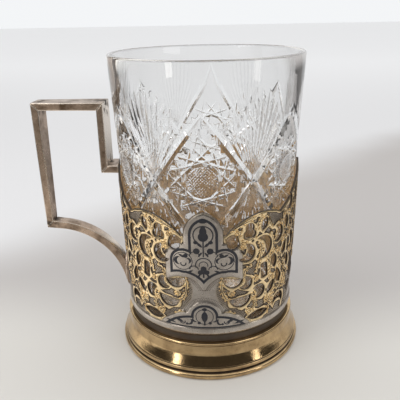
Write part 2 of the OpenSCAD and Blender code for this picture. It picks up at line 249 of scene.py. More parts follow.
def make_aged_metal():
    group, given, out = new_group(
        "aged_metal", "ShaderNodeTree",
        [("Clean", "Color", (0.8, 0.8, 0.8, 1)), ("Dark", "Color", (0.2, 0.2, 0.2, 1)),
         ("Dirt", "Float", 0.5), ("Smooth", "Float", 0.2), ("Rough", "Float", 0.4)],
        [("Color", "Color"), ("Roughness", "Float"), ("Height", "Float")])
    where = object_place(group)
    stretched = {"Vector": where, "Rotation": SCRATCH_WAY, "Scale": SCRATCH_STRETCH}
    cloud = noise(group, where, CLOUD, 6.0, 0.62)
    speck = noise(group, where, SPECK, 3.0)
    scratch = noise(group, socket(group, "ShaderNodeMapping", stretched), SCRATCH, 2.0)
    patches = maths(group, "MULTIPLY", ramp(group, cloud, 0.42, 0.72, kind="LINEAR"), given["Dirt"])
    spots = ramp(group, speck, 0.56, 0.75, kind="LINEAR")
    both = socket(group, "ShaderNodeMath", {0: spots, 1: 0.35, 2: patches},
                  operation="MULTIPLY_ADD", use_clamp=True)
    group.links.new(mix(group, both, given["Clean"], given["Dark"]), out["Color"])
    group.links.new(mix(group, both, given["Smooth"], given["Rough"], "FLOAT"), out["Roughness"])
    group.links.new(maths(group, "MULTIPLY_ADD", scratch, 0.6, speck), out["Height"])
    return group


aged_metal = make_aged_metal()
print("group", aged_metal.name, "has", len(aged_metal.nodes), "nodes")

# %% [markdown]
# ## The metals
# Gilding is a warm yellow over silver, bare silver is a soft white with a brown shade, and the handle has
# been handled until little but its edges shines. Each metal is one shader fed by the group for age, with
# a faint bump from the same scratches. Two marks of a mesh can change it: one for wear and painted
# highlights, and one for grime and painted shade. So can the inner corners of the handle, where no
# polishing cloth ever reached.

# %% Marks and corners
CORNER_REACH, CORNER_DEPTH = 6.5 * MM, 4 * MM


def mark(tree, name):
    """A number that the mesh keeps for each of its points or faces, or nothing where it keeps none."""
    return add(tree, "ShaderNodeAttribute", attribute_name=name).outputs["Fac"]


def ends(node):
    """The middle of the lowest and of the highest few millimetres of a node."""
    co = places(frame["nodes"][node].data)
    height = co[:, 2]
    low, high = height < height.min() + CORNER_DEPTH, height > height.max() - CORNER_DEPTH
    return [co[low].mean(0), co[high].mean(0)]


def near_corners(tree, corners):
    """A patchy mask round a few places, where solder and dirt stay."""
    if not corners:
        return 0.0
    where, near = object_place(tree), 1.0
    for corner in corners:
        gap = add(tree, "ShaderNodeVectorMath", {0: where, 1: tuple(corner)}, operation="DISTANCE")
        near = maths(tree, "MINIMUM", near, gap.outputs["Value"])
    patch = ramp(tree, noise(tree, where, 420.0, 5.0), 0.42, 0.62)
    return maths(tree, "MULTIPLY", ramp(tree, near, CORNER_REACH, 0.2 * CORNER_REACH), patch)


corners = ends("handle_riser") + ends("handle_grip")
print("soiled corners:", [[round(float(v), 3) for v in corner] for corner in corners])

# %% [markdown]
# A metal is named by its clean and its dark colour, how much of it is dirty, and its two roughnesses.

# %% The plain metals
# Colours for worn edges and painted highlights, and for grime and painted shade.
WEAR_AND_SHEEN_SILVER, GRIME_AND_SHADE, SCRATCH_BUMP = (0.78, 0.70, 0.61, 1), (0.05, 0.036, 0.027, 1), 0.02 * MM


def age_of(tree, clean, dark, dirt, smooth, rough):
    """Places the group for age in a material."""
    values = {"Clean": (*clean, 1), "Dark": (*dark, 1), "Dirt": dirt, "Smooth": smooth, "Rough": rough}
    return add(tree, "ShaderNodeGroup", values, node_tree=aged_metal).outputs


def aged(name, *values, metallic=1.0, corners=()):
    material, tree, surface = new_material(name, Metallic=metallic)
    age = age_of(tree, *values)
    # Wear on filed edges, and painted highlights, from the same mark.
    wear_and_sheen = maths(tree, "MULTIPLY", mark(tree, "wear_and_sheen"), 0.7)
    # Grime at the handle's corners, and painted shade on the foot.
    grime_and_shade = maths(tree, "MAXIMUM", mark(tree, "grime_and_shade"), near_corners(tree, corners))
    colour = mix(tree, wear_and_sheen, age["Color"], WEAR_AND_SHEEN_SILVER)
    dull = mix(tree, wear_and_sheen, age["Roughness"], 0.2, "FLOAT")
    feed(tree, surface, Base_Color=mix(tree, grime_and_shade, colour, GRIME_AND_SHADE),
         Roughness=mix(tree, grime_and_shade, dull, 0.6, "FLOAT"),
         Normal=socket(tree, "ShaderNodeBump", {"Height": age["Height"], "Distance": SCRATCH_BUMP}))
    return material


gilt = aged("gilt", (0.86, 0.62, 0.32), (0.42, 0.27, 0.13), 0.6, 0.10, 0.30)
foot_gilt = aged("foot_gilt", (0.64, 0.46, 0.25), (0.24, 0.15, 0.075), 0.75, 0.07, 0.28)
silver = aged("silver", (0.74, 0.70, 0.65), (0.36, 0.31, 0.27), 0.6, 0.22, 0.42)
oxidised = aged("oxidised_silver", (0.46, 0.345, 0.26), (0.13, 0.085, 0.052), 1.0, 0.27, 0.46,
                metallic=0.85, corners=corners)
oxide = aged("oxide", (0.075, 0.055, 0.042), (0.03, 0.024, 0.02), 0.6, 0.42, 0.6, metallic=0.6)
niello = aged("niello", (0.020, 0.022, 0.030), (0.055, 0.05, 0.05), 0.5, 0.30, 0.5, metallic=0.3)
print("metals:", [metal.name for metal in (gilt, foot_gilt, silver, oxidised, oxide, niello)])

# %% [markdown]
# ## Crystal
# Lead crystal bends light more than window glass, so its index is high. It keeps a plain transmission
# value, and its roughness varies with a breath of wiping marks. Two things help the renderer. Shadows
# pass through it for the most part, because real crystal throws bright ones. A ray that has run about
# inside it for too long goes on straight, where it would otherwise end in black. The polished lip gets a
# darker colour, a painted shade for the dark line along the rim.

# %% The crystal
CRYSTAL_INDEX, SHADOW_CLEAR, MOST_MIRRORED, MOST_PASSED = 1.54, 0.85, 2.5, 7.5
CLEAR_GLASS, LIP_SHADE_GLASS, LIP_FROM, LIP_TO = (0.985, 0.99, 0.99, 1), (0.68, 0.69, 0.70, 1), 0.9, 0.4


def make_crystal():
    values = {"Transmission_Weight": 1.0, "IOR": CRYSTAL_INDEX, "Metallic": 0.0}
    material, tree, surface = new_material("crystal", **values)
    where = object_place(tree)
    # The darker lip colour is painted shade for the dark line of the rim.
    lip = ramp(tree, parts(tree, where)["Z"], (GLASS_RIM_Z - LIP_FROM) * MM, (GLASS_RIM_Z - LIP_TO) * MM)
    ray = add(tree, "ShaderNodeLightPath").outputs
    spent = maths(tree, "MAXIMUM", maths(tree, "GREATER_THAN", ray["Glossy Depth"], MOST_MIRRORED),
                  maths(tree, "GREATER_THAN", ray["Transmission Depth"], MOST_PASSED))
    clear = maths(tree, "MAXIMUM", spent, maths(tree, "MULTIPLY", ray["Is Shadow Ray"], SHADOW_CLEAR))
    feed(tree, surface, Base_Color=mix(tree, lip, CLEAR_GLASS, LIP_SHADE_GLASS),
         Roughness=ramp(tree, noise(tree, where, 90.0, 4.0), 0.4, 0.8, 0.05, "LINEAR"),
         Alpha=maths(tree, "SUBTRACT", 1.0, clear))
    return material


crystal = make_crystal()
print("material", crystal.name, "has", len(crystal.node_tree.nodes), "nodes")

# %% [markdown]
# ## First dressing
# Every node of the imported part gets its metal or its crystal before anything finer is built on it.

# %% Materials on the nodes
STRAPS = ("handle_stub", "handle_riser", "handle_top_bar", "handle_grip", "handle_arm", "handle_saddle")
INLAYS = ("front_medallion_niello", "front_lunette_niello", "back_medallion_niello", "back_lunette_niello")
DRESS = ((gilt, ("pierced_sleeve", "foot_moulding", "foot_ring")), (niello, INLAYS),
         (silver, ("floor_plate",)), (oxidised, STRAPS), (crystal, ("tea_glass",)))
for material, nodes in DRESS:
    for name in nodes:
        data = frame["nodes"][name].data
        data.materials.clear()
        data.materials.append(material)
print("dressed:", sum(len(nodes) for _, nodes in DRESS))

# %% [markdown]
# ## Spun and turned pieces
# The foot was spun on a lathe, and a lathe is easy to copy: a profile is drawn in radius and height, and
# turned round the axis. Geometry Nodes do the turning. The tree lays a grid that has a row for each point
# of the profile and a column for each step of the turn, and puts every point of the grid in its place.

# %% The lathe tree
FULL_TURN = 2 * math.pi


def make_lathe():
    group, given, out = new_group(
        "lathe", "GeometryNodeTree",
        [("Profile", "Geometry"), ("Steps", "Int", 256), ("Finish", "Material")], [("Turned", "Geometry")])
    profile, steps = given["Profile"], given["Steps"]
    count = add(group, "GeometryNodeAttributeDomainSize", {"Geometry": profile}).outputs["Point Count"]
    columns = {"Vertices X": maths(group, "ADD", steps, 1.0), "Vertices Y": count}
    grid = socket(group, "GeometryNodeMeshGrid", columns)
    index = socket(group, "GeometryNodeInputIndex")
    column = maths(group, "FLOOR", maths(group, "DIVIDE", index, count))
    angle = maths(group, "MULTIPLY", maths(group, "DIVIDE", column, steps), FULL_TURN)
    sample = {"Geometry": profile, "Value": socket(group, "GeometryNodeInputPosition"),
              "Index": maths(group, "FLOORED_MODULO", index, count)}
    point = parts(group, socket(group, "GeometryNodeSampleIndex", sample, data_type="FLOAT_VECTOR"))
    turned = socket(group, "ShaderNodeCombineXYZ", {
        "X": maths(group, "MULTIPLY", point["X"], maths(group, "COSINE", angle)),
        "Y": maths(group, "MULTIPLY", point["X"], maths(group, "SINE", angle)), "Z": point["Z"]})
    moved = socket(group, "GeometryNodeSetPosition", {"Geometry": grid, "Position": turned})
    merged = socket(group, "GeometryNodeMergeByDistance", {"Geometry": moved, "Distance": 0.0005 * MM})
    smooth = socket(group, "GeometryNodeSetShadeSmooth", {"Geometry": merged, "Shade Smooth": True})
    return close_tree(group, given, out, smooth)


lathe = make_lathe()
print("lathe tree:", len(lathe.nodes), "nodes")

# %% [markdown]
# A tree works on an object through a modifier. The helper below sets the tree's inputs by their
# identifiers, lets Blender work it out once, and keeps the result as a plain mesh. Another helper puts a
# finished mesh in the scene and hands it to the body that it moves with.

# %% From tree to plain mesh
def mesh_of(points, edges=(), faces=()):
    """A mesh from points in millimetres."""
    mesh = bpy.data.meshes.new("plain")
    mesh.from_pydata((np.array(points, dtype=float) * MM).tolist(), list(edges), list(faces))
    return mesh


def write_mark(mesh, label, values, domain="POINT"):
    """Keeps a number for each point or face under a name that trees and materials can read."""
    values = np.asarray(values, dtype=np.float32)
    mesh.attributes.new(label, "FLOAT", domain).data.foreach_set("value", values)


def worked_out(mesh, tree, **values):
    """The plain mesh that a tree makes of a mesh; an input's name has its spaces as underscores."""
    carrier = bpy.data.objects.new("carrier", mesh)
    bpy.context.scene.collection.objects.link(carrier)
    modifier = carrier.modifiers.new("tree", "NODES")
    modifier.node_group = tree
    identifiers = {item.name.replace(" ", "_"): item.identifier for item in tree.interface.items_tree
                   if item.item_type == "SOCKET" and item.in_out == "INPUT"}
    for name, value in values.items():
        modifier[identifiers[name]] = value
    graph = bpy.context.evaluated_depsgraph_get()
    ready = carrier.evaluated_get(graph)
    made = bpy.data.meshes.new_from_object(ready, preserve_all_data_layers=True, depsgraph=graph)
    carrier.modifiers.clear()
    bpy.data.objects.remove(carrier)
    return made


def outward(mesh):
    work = bmesh.new()
    work.from_mesh(mesh)
    bmesh.ops.recalc_face_normals(work, faces=work.faces)
    work.to_mesh(mesh)
    work.free()
    return mesh


def settle(name, mesh, body, slot, *replaced):
    """Puts a finished mesh in the scene, and tells its body and the nodes that it replaces; its slot is not
    used.
    """
    mesh.name = name
    piece = bpy.data.objects.new(name, mesh)
    bpy.context.scene.collection.objects.link(piece)
    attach(piece, body)
    if replaced:
        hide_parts(*replaced)
    print(name, "has", sum(len(face.vertices) - 2 for face in mesh.polygons), "triangles")
    return piece


# %% [markdown]
# Polished silver has no knife edges, so the corners of a profile are rounded a little before it is
# turned.

# %% Turning a profile
TURN_STEPS, SHARE_OF_SIDE = 256, 0.45


def rounded(points, radius, steps=4):
    """A closed profile whose corners are short curves that never use up their own sides."""
    out = []
    for i, corner in enumerate(points):
        here = Vector(corner)
        before, after = Vector(points[i - 1]) - here, Vector(points[(i + 1) % len(points)]) - here
        back_by = min(radius, SHARE_OF_SIDE * before.length, SHARE_OF_SIDE * after.length)
        start, end = here + before.normalized() * back_by, here + after.normalized() * back_by
        for t in [k / steps for k in range(steps + 1)]:
            out.append(start * (1 - t) ** 2 + here * 2 * t * (1 - t) + end * t ** 2)
    return out + [out[0]]


def turned_mesh(points, steps, finish):
    line = mesh_of([(p[0], 0, p[1]) for p in points], [(i, i + 1) for i in range(len(points) - 1)])
    return worked_out(line, lathe, Steps=steps, Finish=finish)


def spun(name, profile, radius, node):
    mesh = outward(turned_mesh(rounded(profile, radius), TURN_STEPS, foot_gilt))
    return settle(name, mesh, "holder", "gilt", node)


def paint_shade_bands(piece, bands):
    """Marks painted shade on a turned piece: bands of height, from where one starts to where it is full and
    back.
    """
    heights = places(piece.data)[:, 2] / MM
    grime_and_shade = np.max([np.interp(heights, band, (0, 1, 1, 0)) for band in bands], 0)
    write_mark(piece.data, "grime_and_shade", grime_and_shade)
    print("shaded points on", piece.name + ":", int((grime_and_shade > 0.5).sum()))


print("a square with rounded corners has", len(rounded([(0, 0), (1, 0), (1, 1), (0, 1)], 0.1)), "points")

# %% [markdown]
# ## The foot
# From the table up, the foot is a bottom ring with a round bead, a groove and a small fillet, and then a
# hollow moulding. It sweeps in steeply, so that it mirrors the dark side of the room, and goes on to a
# band that is nearly upright and mirrors the bright table. A bead closes it under the dark neck. The
# groove, the joint of the two pieces and the place under the bead are darkened with painted shade.

# %% The bottom ring and the moulding
RING = [(RING_IN, TABLE_Z), (36.0, TABLE_Z), (36.55, 0.35), (RING_OUT, 0.9), (RING_OUT, 1.4), (36.55, 1.95),
        (36.0, 2.3), (35.55, 2.3), (35.55, 3.2), (35.85, 3.2), (35.85, RING_TOP), (RING_IN, RING_TOP)]
SWEEP = [(35.6, RING_TOP), (35.58, 4.7), (35.45, 5.05), (35.08, 5.85), (34.65, 6.8), (34.24, 7.75),
         (33.93, 8.55), (33.77, 9.1), (33.74, 9.6)]
BAND = [(33.73, 10.2), (33.68, 10.9), (33.6, 11.7), (33.53, 12.3), (33.52, 12.7), (33.8, 12.85),
        (33.98, 13.15), (33.96, 13.5), (33.75, 13.8), (33.3, FLOOR_Z)]
INNER_SIDE = [(LIP_R, FLOOR_Z), (LIP_R, 12.9), (32.2, 12.9), (32.9, 9.3), (34.3, RING_TOP)]
foot_ring = spun("foot_ring_turned", RING, 0.25, "foot_ring")
foot_moulding = spun("foot_moulding_spun", SWEEP + BAND + INNER_SIDE, 0.2, "foot_moulding")
# Painted shade in the groove, at the joint of the two pieces and under the bead.
paint_shade_bands(foot_ring, [(2.2, 2.35, 3.1, 3.25)])
paint_shade_bands(foot_moulding, [(4.3, 4.4, 4.6, 4.9), (12.3, 12.6, 12.75, 12.95)])

# %% [markdown]
# ## The pierced sheet, drawn flat
# The drum is a sheet that was pierced and engraved before it was rolled, so it is drawn flat here as
# well. A field gives every place of the sheet a number of millimetres: above nothing is metal, below
# nothing is air. Each saw cut is a few circles, and the whole pattern is one quarter that is mirrored. A
# cut has its angle from the front, its height, its length and width, its lean, and the name of its shape.

# %% The shapes of the saw cuts
SHEET, NECK_IN, NECK_HIGH = 0.8, 0.7, 3.8
SLEEVE_R = round(NECK_R + SHEET + NECK_IN, 2)
SPREAD = round(SLEEVE_TOP_R - SLEEVE_R, 2)
SLEEVE_Z = round(FOOT_Z + NECK_HIGH, 2)
ROLL_R = round(SLEEVE_R + SPREAD / 2, 2)
FAR = 9.0
GAPS = [
    (17.3, 54.2, 5.4, 4.2, 15, "bar"), (27.9, 57.2, 6.4, 3.9, 0, "lobed"),
    (38.3, 59.1, 4.9, 2.6, -20, "leaf"), (42.3, 50.5, 8.7, 2.9, 6, "comma"),
    (28.8, 48.6, 6.8, 3.2, -25, "comma"), (17.1, 37.5, 7.1, 5.0, -10, "half"),
    (27.7, 37.0, 5.1, 2.7, -25, "comma"), (37.1, 33.1, 5.5, 3.5, 15, "comma"),
    (23.0, 30.1, 8.0, 3.7, 8, "half"), (39.2, 40.8, 6.1, 2.9, 5, "bar"),
    (35.6, 23.1, 9.2, 3.5, 94, "leaf"), (47.7, 43.1, 5.8, 3.0, 10, "leaf"),
    (53.1, 53.2, 6.5, 2.8, -10, "comma"), (52.7, 36.0, 6.9, 3.5, 20, "petal"),
    (58.1, 46.3, 6.0, 3.2, -20, "petal"), (59.6, 56.5, 5.7, 3.0, 15, "leaf"),
    (65.0, 62.5, 5.7, 2.6, -35, "comma"), (74.7, 57.9, 6.4, 2.9, 0, "petal"),
    (71.1, 47.5, 7.1, 3.0, 10, "comma"), (45.5, 32.8, 6.0, 2.7, -35, "leaf"),
    (54.9, 26.9, 6.7, 2.7, 80, "comma"), (63.5, 40.0, 6.0, 2.9, 15, "leaf")]


def disc(x, z, cx, cz, r):
    """Millimetres outside a circle."""
    return np.hypot(x - cx, z - cz) - r


def leaf(x, z, length, width):
    """Two bows that meet in a point above and below."""
    bow = (length * length + width * width) / (4 * width)
    return np.maximum(disc(x, z, bow - width / 2, 0, bow), disc(x, z, width / 2 - bow, 0, bow))


def saw_cut(kind, x, z, length, width):
    if kind == "leaf":
        return leaf(x, z, length, width)
    if kind == "comma":
        back = (width - length) / 2
        return np.maximum(disc(x, z, back, 0, length / 2), -disc(x, z, back - width, 0, length / 2))
    if kind == "petal":
        bud = disc(x, z, 0, (width - length) / 4, width / 2)
        return np.minimum(leaf(x, z, length, 0.8 * width), bud)
    if kind == "lobed":
        lobes = disc(np.abs(x), z, width / 4, -length / 8, 0.36 * width)
        return np.minimum(disc(x, z, 0, length / 4, length / 4), lobes)
    if kind == "half":
        return np.maximum(disc(x, z, 0, width / 2, length / 2), np.maximum(z - width / 2, -width - z))
    bar_sides = np.maximum(np.abs(x) - width / 2, np.abs(z) - length / 2)
    return np.maximum(disc(x, z, 0, 0, length / 2), bar_sides)


def wall_r(z):
    """The radius of the sleeve at a height: a cone above its foot."""
    return SLEEVE_R + SPREAD * np.maximum(z - SLEEVE_Z, 0) / (PEAK_Z - SLEEVE_Z)


def leaned(x, z, angle):
    c, s = math.cos(math.radians(angle)), math.sin(math.radians(angle))
    return x * c + z * s, z * c - x * s


def cuts_field(s, z):
    far = np.full(np.shape(s), FAR)
    for angle, height, length, width, lean, kind in GAPS:
        x = wall_r(z) * np.sin(np.abs(s) / ROLL_R - math.radians(angle))
        far = np.minimum(far, saw_cut(kind, *leaned(x, z - height, lean), length, width))
    return far


print("saw cuts in a quarter:", len(GAPS), "in a sheet", round(FULL_TURN * ROLL_R, 1), "mm long")

# %% [markdown]
# The medallion is a trefoil with a pointed top, and the lunette under it is a lobe between two wings.
# Their outlines are used again and again: for the edge of the sheet, for its relief, and for the niello.
# Above the scrolls the sheet ends in an arch on each side of the medallion, and in a peak over each side.

# %% Medallion, lunette and rim
STEM_HALF, STEM_LOW, STEM_TOP, TIP_HIGH, TIP_LOW = 5.1, 44.0, 57.5, 6.4, 53.0
LOBE_X, LOBE_Z, LOBE_R = 7, 47.6, 4.8
SKIRT_HALF, SKIRT_Z, BITE_X, BITE_Z, BITE_R = 11.8, 36.05, 8, 33.4, 9.6
BUD_Z, BUD_R, WING_X, WING_Z, WING_R, WING_END, WING_LOW = 25.3, 4.9, 4.5, 12.8, 12.7, 18.4, 20.4
ARCH_AT, ARCH_Z, ARCH_R, RIM_LOW = math.radians(37.5), 46.11, 17.69, 57
PEAK_HALF, PEAK_HIGH = 27.98, 18.5
SHIELD_MORE, LUNETTE_MORE, LUNETTE_DOWN = 1.8, 1.5, -1.0


def medallion(x, z, grow=0.0):
    """Millimetres outside the trefoil, which may be grown all round."""
    x = np.abs(x)
    bow = (TIP_HIGH ** 2 / STEM_HALF + STEM_HALF) / 2
    top = np.maximum(np.hypot(x + bow - STEM_HALF, z - STEM_TOP) - bow - grow, TIP_LOW - z)
    stem = np.maximum(x - STEM_HALF - grow, np.maximum(STEM_LOW - z, z - STEM_TOP))
    bite = BITE_R - grow - np.hypot(x - BITE_X, z - BITE_Z)
    skirt = np.maximum.reduce([x - SKIRT_HALF - grow, SKIRT_Z - z, z - LOBE_Z, bite])
    return np.minimum.reduce([top, stem, disc(x, z, LOBE_X, LOBE_Z, LOBE_R + grow), skirt])


def lunette(x, z, grow=0.0, line=0.0):
    """Millimetres outside the lunette; its flat lower edge moves by itself."""
    x = np.abs(x)
    shape = np.minimum(disc(x, z, 0, BUD_Z, BUD_R + grow), disc(x, z, WING_X, WING_Z, WING_R + grow))
    return np.maximum.reduce([shape, x - WING_END, WING_LOW + line - z])


def shield_edges(x, z, grow=0.0):
    """Millimetres outside the silver shields, which stand a little wider than the two figures."""
    return medallion(x, z, SHIELD_MORE + grow), lunette(x, z, LUNETTE_MORE + grow, LUNETTE_DOWN)


def drum_place(s, z):
    """How far a place of the rolled sheet stands beside the middle line, and how far from the side's."""
    r = wall_r(z)
    return r * np.sin(np.abs(s) / ROLL_R), np.abs(r * np.cos(s / ROLL_R))


def rim_field(s, z):
    x, ahead = drum_place(s, z)
    arch = ARCH_R - np.hypot(wall_r(z) * np.sin(np.abs(s) / ROLL_R - ARCH_AT), z - ARCH_Z)
    peak = ((PEAK_Z - z) * PEAK_HALF - ahead * PEAK_HIGH) / math.hypot(PEAK_HALF, PEAK_HIGH)
    return np.maximum.reduce([RIM_LOW - z, -medallion(x, z, SHIELD_MORE), arch, peak])


def metal_field(s, z):
    return np.minimum(rim_field(s, z), cuts_field(s, z))


print("height of the medallion's tip:", round(STEM_TOP + TIP_HIGH, 2), "mm")

# %% [markdown]
# ## From a field to a sheet
# Marching squares turn a field into clean outlines. A grid of squares covers the drawing, and each square
# keeps the part of it that is metal, cut along the straight line where the field is nothing. The table
# says which corners and which cut points go round that part. The outer and the inner face are joined by
# walls along every open edge, so that each piece is closed.

# %% Marching squares
CASES = {
    1: "a ab da", 2: "b bc ab", 3: "a b bc da", 4: "c cd bc", 5: "a ab bc c cd da", 6: "b c cd ab",
    7: "a b c cd da", 8: "d da cd", 9: "a ab cd d", 10: "b bc cd d da ab", 11: "a b bc cd d",
    12: "c d da bc", 13: "a ab bc c d", 14: "b c d da ab", 15: "a b c d"}
CLEAR_OF_CORNER = 0.12


def march(field, low, high, pitch):
    """Points and faces of the region where a field of (x, z) is above nothing, in millimetres."""
    xs = np.linspace(low[0], high[0], int(round((high[0] - low[0]) / pitch)) + 1)
    zs = np.linspace(low[1], high[1], int(round((high[1] - low[1]) / pitch)) + 1)
    x, z = np.meshgrid(xs, zs, indexing="ij")
    f = field(x, z)
    least = CLEAR_OF_CORNER
    f = np.where(np.abs(f) < least * pitch, np.where(f < 0, -least, least) * pitch, f)
    nx, nz = f.shape
    own = np.arange(nx * nz).reshape(nx, nz)
    t = f[:-1] / np.where(f[:-1] * f[1:] < 0, f[:-1] - f[1:], 1)
    across = np.stack([x[:-1] + t * (x[1:] - x[:-1]), z[:-1]], -1).reshape(-1, 2)
    t = f[:, :-1] / np.where(f[:, :-1] * f[:, 1:] < 0, f[:, :-1] - f[:, 1:], 1)
    along = np.stack([x[:, :-1], z[:, :-1] + t * (z[:, 1:] - z[:, :-1])], -1).reshape(-1, 2)
    points = np.concatenate([np.stack([x, z], -1).reshape(-1, 2), across, along])
    h = nx * nz + np.arange((nx - 1) * nz).reshape(nx - 1, nz)
    v = nx * nz + h.size + np.arange(nx * (nz - 1)).reshape(nx, nz - 1)
    ids = {"a": own[:-1, :-1], "b": own[1:, :-1], "c": own[1:, 1:], "d": own[:-1, 1:],
           "ab": h[:, :-1], "cd": h[:, 1:], "bc": v[1:], "da": v[:-1]}
    inside = (f > 0).astype(int)
    case = inside[:-1, :-1] + 2 * inside[1:, :-1] + 4 * inside[1:, 1:] + 8 * inside[:-1, 1:]
    faces = [np.stack([ids[k][case == number] for k in shape.split()], -1)
             for number, shape in CASES.items() if (case == number).any()]
    used, flat = np.unique(np.concatenate([block.ravel() for block in faces]), return_inverse=True)
    out, at = [], 0
    for block in faces:
        out.append(flat[at:at + block.size].reshape(block.shape))
        at += block.size
    return points[used], out


def rim_edges(blocks, count):
    """The directed edges that only one face uses."""
    pairs = np.concatenate([np.stack([b, np.roll(b, -1, axis=1)], -1).reshape(-1, 2) for b in blocks])
    return pairs[~np.isin(pairs[:, 0] * count + pairs[:, 1], pairs[:, 1] * count + pairs[:, 0])]


def only_used(points, edges):
    """The points that edges use, the edges by their new numbers, and the old numbers of the points."""
    used, flat = np.unique(edges, return_inverse=True)
    return points[used], flat.reshape(edges.shape), used


def flat_sheet(points, blocks, outer, inner, marks=None):
    """A closed flat piece: x along the sheet, y into it, z up."""
    count = len(points)
    pos = np.empty((2 * count, 3))
    pos[:, 0], pos[:, 2] = np.tile(points[:, 0], 2), np.tile(points[:, 1], 2)
    pos[:count, 1], pos[count:, 1] = -outer, -inner
    edges = rim_edges(blocks, count)
    walls = np.stack([edges[:, 1], edges[:, 0], edges[:, 0] + count, edges[:, 1] + count], -1)
    face = [f for block in blocks for f in block.tolist()]
    back = [f for block in blocks for f in (block[:, ::-1] + count).tolist()]
    mesh = mesh_of(pos, (), face + back + walls.tolist())
    number = np.arange(len(mesh.polygons))
    write_mark(mesh, "wall", number >= len(face + back), "FACE")
    write_mark(mesh, "back", number >= len(face), "FACE")
    for label, values in (marks or {}).items():
        write_mark(mesh, label, np.tile(values, 2))
    return mesh


print("ways in which a square can be cut:", len(CASES))

# %% [markdown]
# ## Rolling
# The sheet is rolled up by a small tree of nodes. The distance along the sheet becomes an angle, the
# height picks the radius of the cone, which draws in to a neck at the foot, and the depth of each point
# is kept, so the relief comes along.

# %% The rolling tree
def make_roll():
    group, given, out = new_group(
        "roll", "GeometryNodeTree",
        [("Flat", "Geometry"), ("Foot Radius", "Float", SLEEVE_R * MM), ("Spread", "Float", SPREAD * MM),
         ("Foot Height", "Float", SLEEVE_Z * MM), ("Peak Height", "Float", PEAK_Z * MM),
         ("Neck In", "Float", NECK_IN * MM), ("Developed Radius", "Float", ROLL_R * MM),
         ("Turn", "Float", 0.0), ("Finish", "Material")], [("Rolled", "Geometry")])
    foot = given["Foot Height"]
    part = parts(group, socket(group, "GeometryNodeInputPosition"))
    angle = maths(group, "ADD", maths(group, "DIVIDE", part["X"], given["Developed Radius"]), given["Turn"])
    above = maths(group, "MAXIMUM", maths(group, "SUBTRACT", part["Z"], foot), 0.0)
    share = maths(group, "DIVIDE", above, maths(group, "SUBTRACT", given["Peak Height"], foot))
    cone = maths(group, "MULTIPLY_ADD", share, given["Spread"], given["Foot Radius"])
    drawn_in = ramp(group, part["Z"], foot, maths(group, "MULTIPLY_ADD", given["Neck In"], -2.0, foot))
    necked = maths(group, "SUBTRACT", cone, maths(group, "MULTIPLY", drawn_in, given["Neck In"]))
    radius = maths(group, "SUBTRACT", necked, part["Y"])
    behind = maths(group, "MULTIPLY", maths(group, "COSINE", angle), -1.0)
    place = socket(group, "ShaderNodeCombineXYZ", {
        "X": maths(group, "MULTIPLY", radius, maths(group, "SINE", angle)),
        "Y": maths(group, "MULTIPLY", radius, behind), "Z": part["Z"]})
    moved = socket(group, "GeometryNodeSetPosition", {"Geometry": given["Flat"], "Position": place})
    wall = socket(group, "GeometryNodeInputNamedAttribute", {"Name": "wall"}, data_type="FLOAT")
    soft = socket(group, "FunctionNodeCompare", {0: wall, 1: 0.5}, operation="LESS_THAN")
    smooth = socket(group, "GeometryNodeSetShadeSmooth", {"Geometry": moved, "Shade Smooth": soft})
    return close_tree(group, given, out, smooth)


roll = make_roll()
print("rolling tree:", len(roll.nodes), "nodes")

# %% [markdown]
# ## The scrolls
# Between the cuts run scrolls that an engraver drew by hand. Each is kept as a few points of angle and
# height on one quarter of the drum, and small spirals stand where a scroll ends or a flower sits. A
# spiral has its angle, height and radius, where it starts, and how far it winds.

# %% Scrolls drawn one by one
SPIRAL_CLOSE, SPIRAL_STEPS, LINE_STEPS, LINE_TIP = 0.35, 18, 7, 0.12
STROKES = [
    [(29.5, 44.0), (25.3, 42.6), (23.4, 38.8)], [(11.6, 41.0), (10.6, 37.0), (13.0, 32.6), (18.6, 30.0)],
    [(10.6, 57.2), (14.5, 58.4), (21.5, 60.2), (31.0, 62.1)],
    [(43.6, 54.6), (46.2, 50.0), (43.9, 45.6), (40.2, 44.9)], [(31.7, 55.3), (27.9, 54.2), (23.7, 55.3)],
    [(35.9, 46.9), (34.6, 43.8), (33.3, 41.2)], [(46.0, 47.2), (44.6, 44.0), (44.0, 38.6)],
    [(47.6, 31.2), (45.6, 27.4), (41.0, 26.9)], [(50.5, 39.5), (49.4, 36.4), (48.9, 31.0), (47.2, 27.4)],
    [(50.4, 25.9), (44.4, 25.0), (42.4, 22.2)], [(55.6, 49.6), (56.6, 53.2), (54.8, 57.2), (50.4, 57.3)],
    [(63.6, 52.6), (60.6, 50.3), (55.4, 49.6)], [(67.0, 57.4), (63.5, 58.9), (59.0, 60.2)],
    [(33.0, 57.8), (33.4, 60.0), (36.4, 62.0)], [(43.6, 57.2), (41.6, 59.8), (38.4, 62.4)],
    [(58.2, 41.6), (59.8, 37.6), (57.6, 32.6), (51.6, 30.2)], [(66.0, 35.4), (62.0, 33.6), (58.6, 29.6)],
    [(76.6, 52.4), (75.6, 48.0), (73.4, 43.4), (68.0, 42.4)],
    [(80.4, 62.0), (81.6, 56.4), (79.6, 52.6), (80.4, 46.4)],
    [(69.2, 66.0), (71.6, 63.0), (71.4, 58.4), (69.0, 53.0)], [(84.6, 71.0), (83.4, 66.0), (78.6, 63.6)],
    [(86.8, 60.0), (86.0, 53.0), (87.0, 46.0), (84.6, 40.0)], [(77.4, 41.4), (80.4, 37.6), (86.6, 36.0)],
    [(66.2, 46.0), (66.8, 42.4)], [(20.0, 45.4), (22.4, 44.0), (21.2, 40.9)],
    [(13.6, 26.6), (17.6, 25.6), (19.6, 22.6)], [(31.4, 30.6), (33.6, 28.0), (31.0, 25.6)],
    [(53.6, 45.6), (52.6, 41.6), (55.6, 39.0)], [(22.4, 49.6), (20.0, 47.6), (14.6, 47.8)],
    [(34.6, 52.8), (36.6, 50.4), (35.4, 46.0)]]
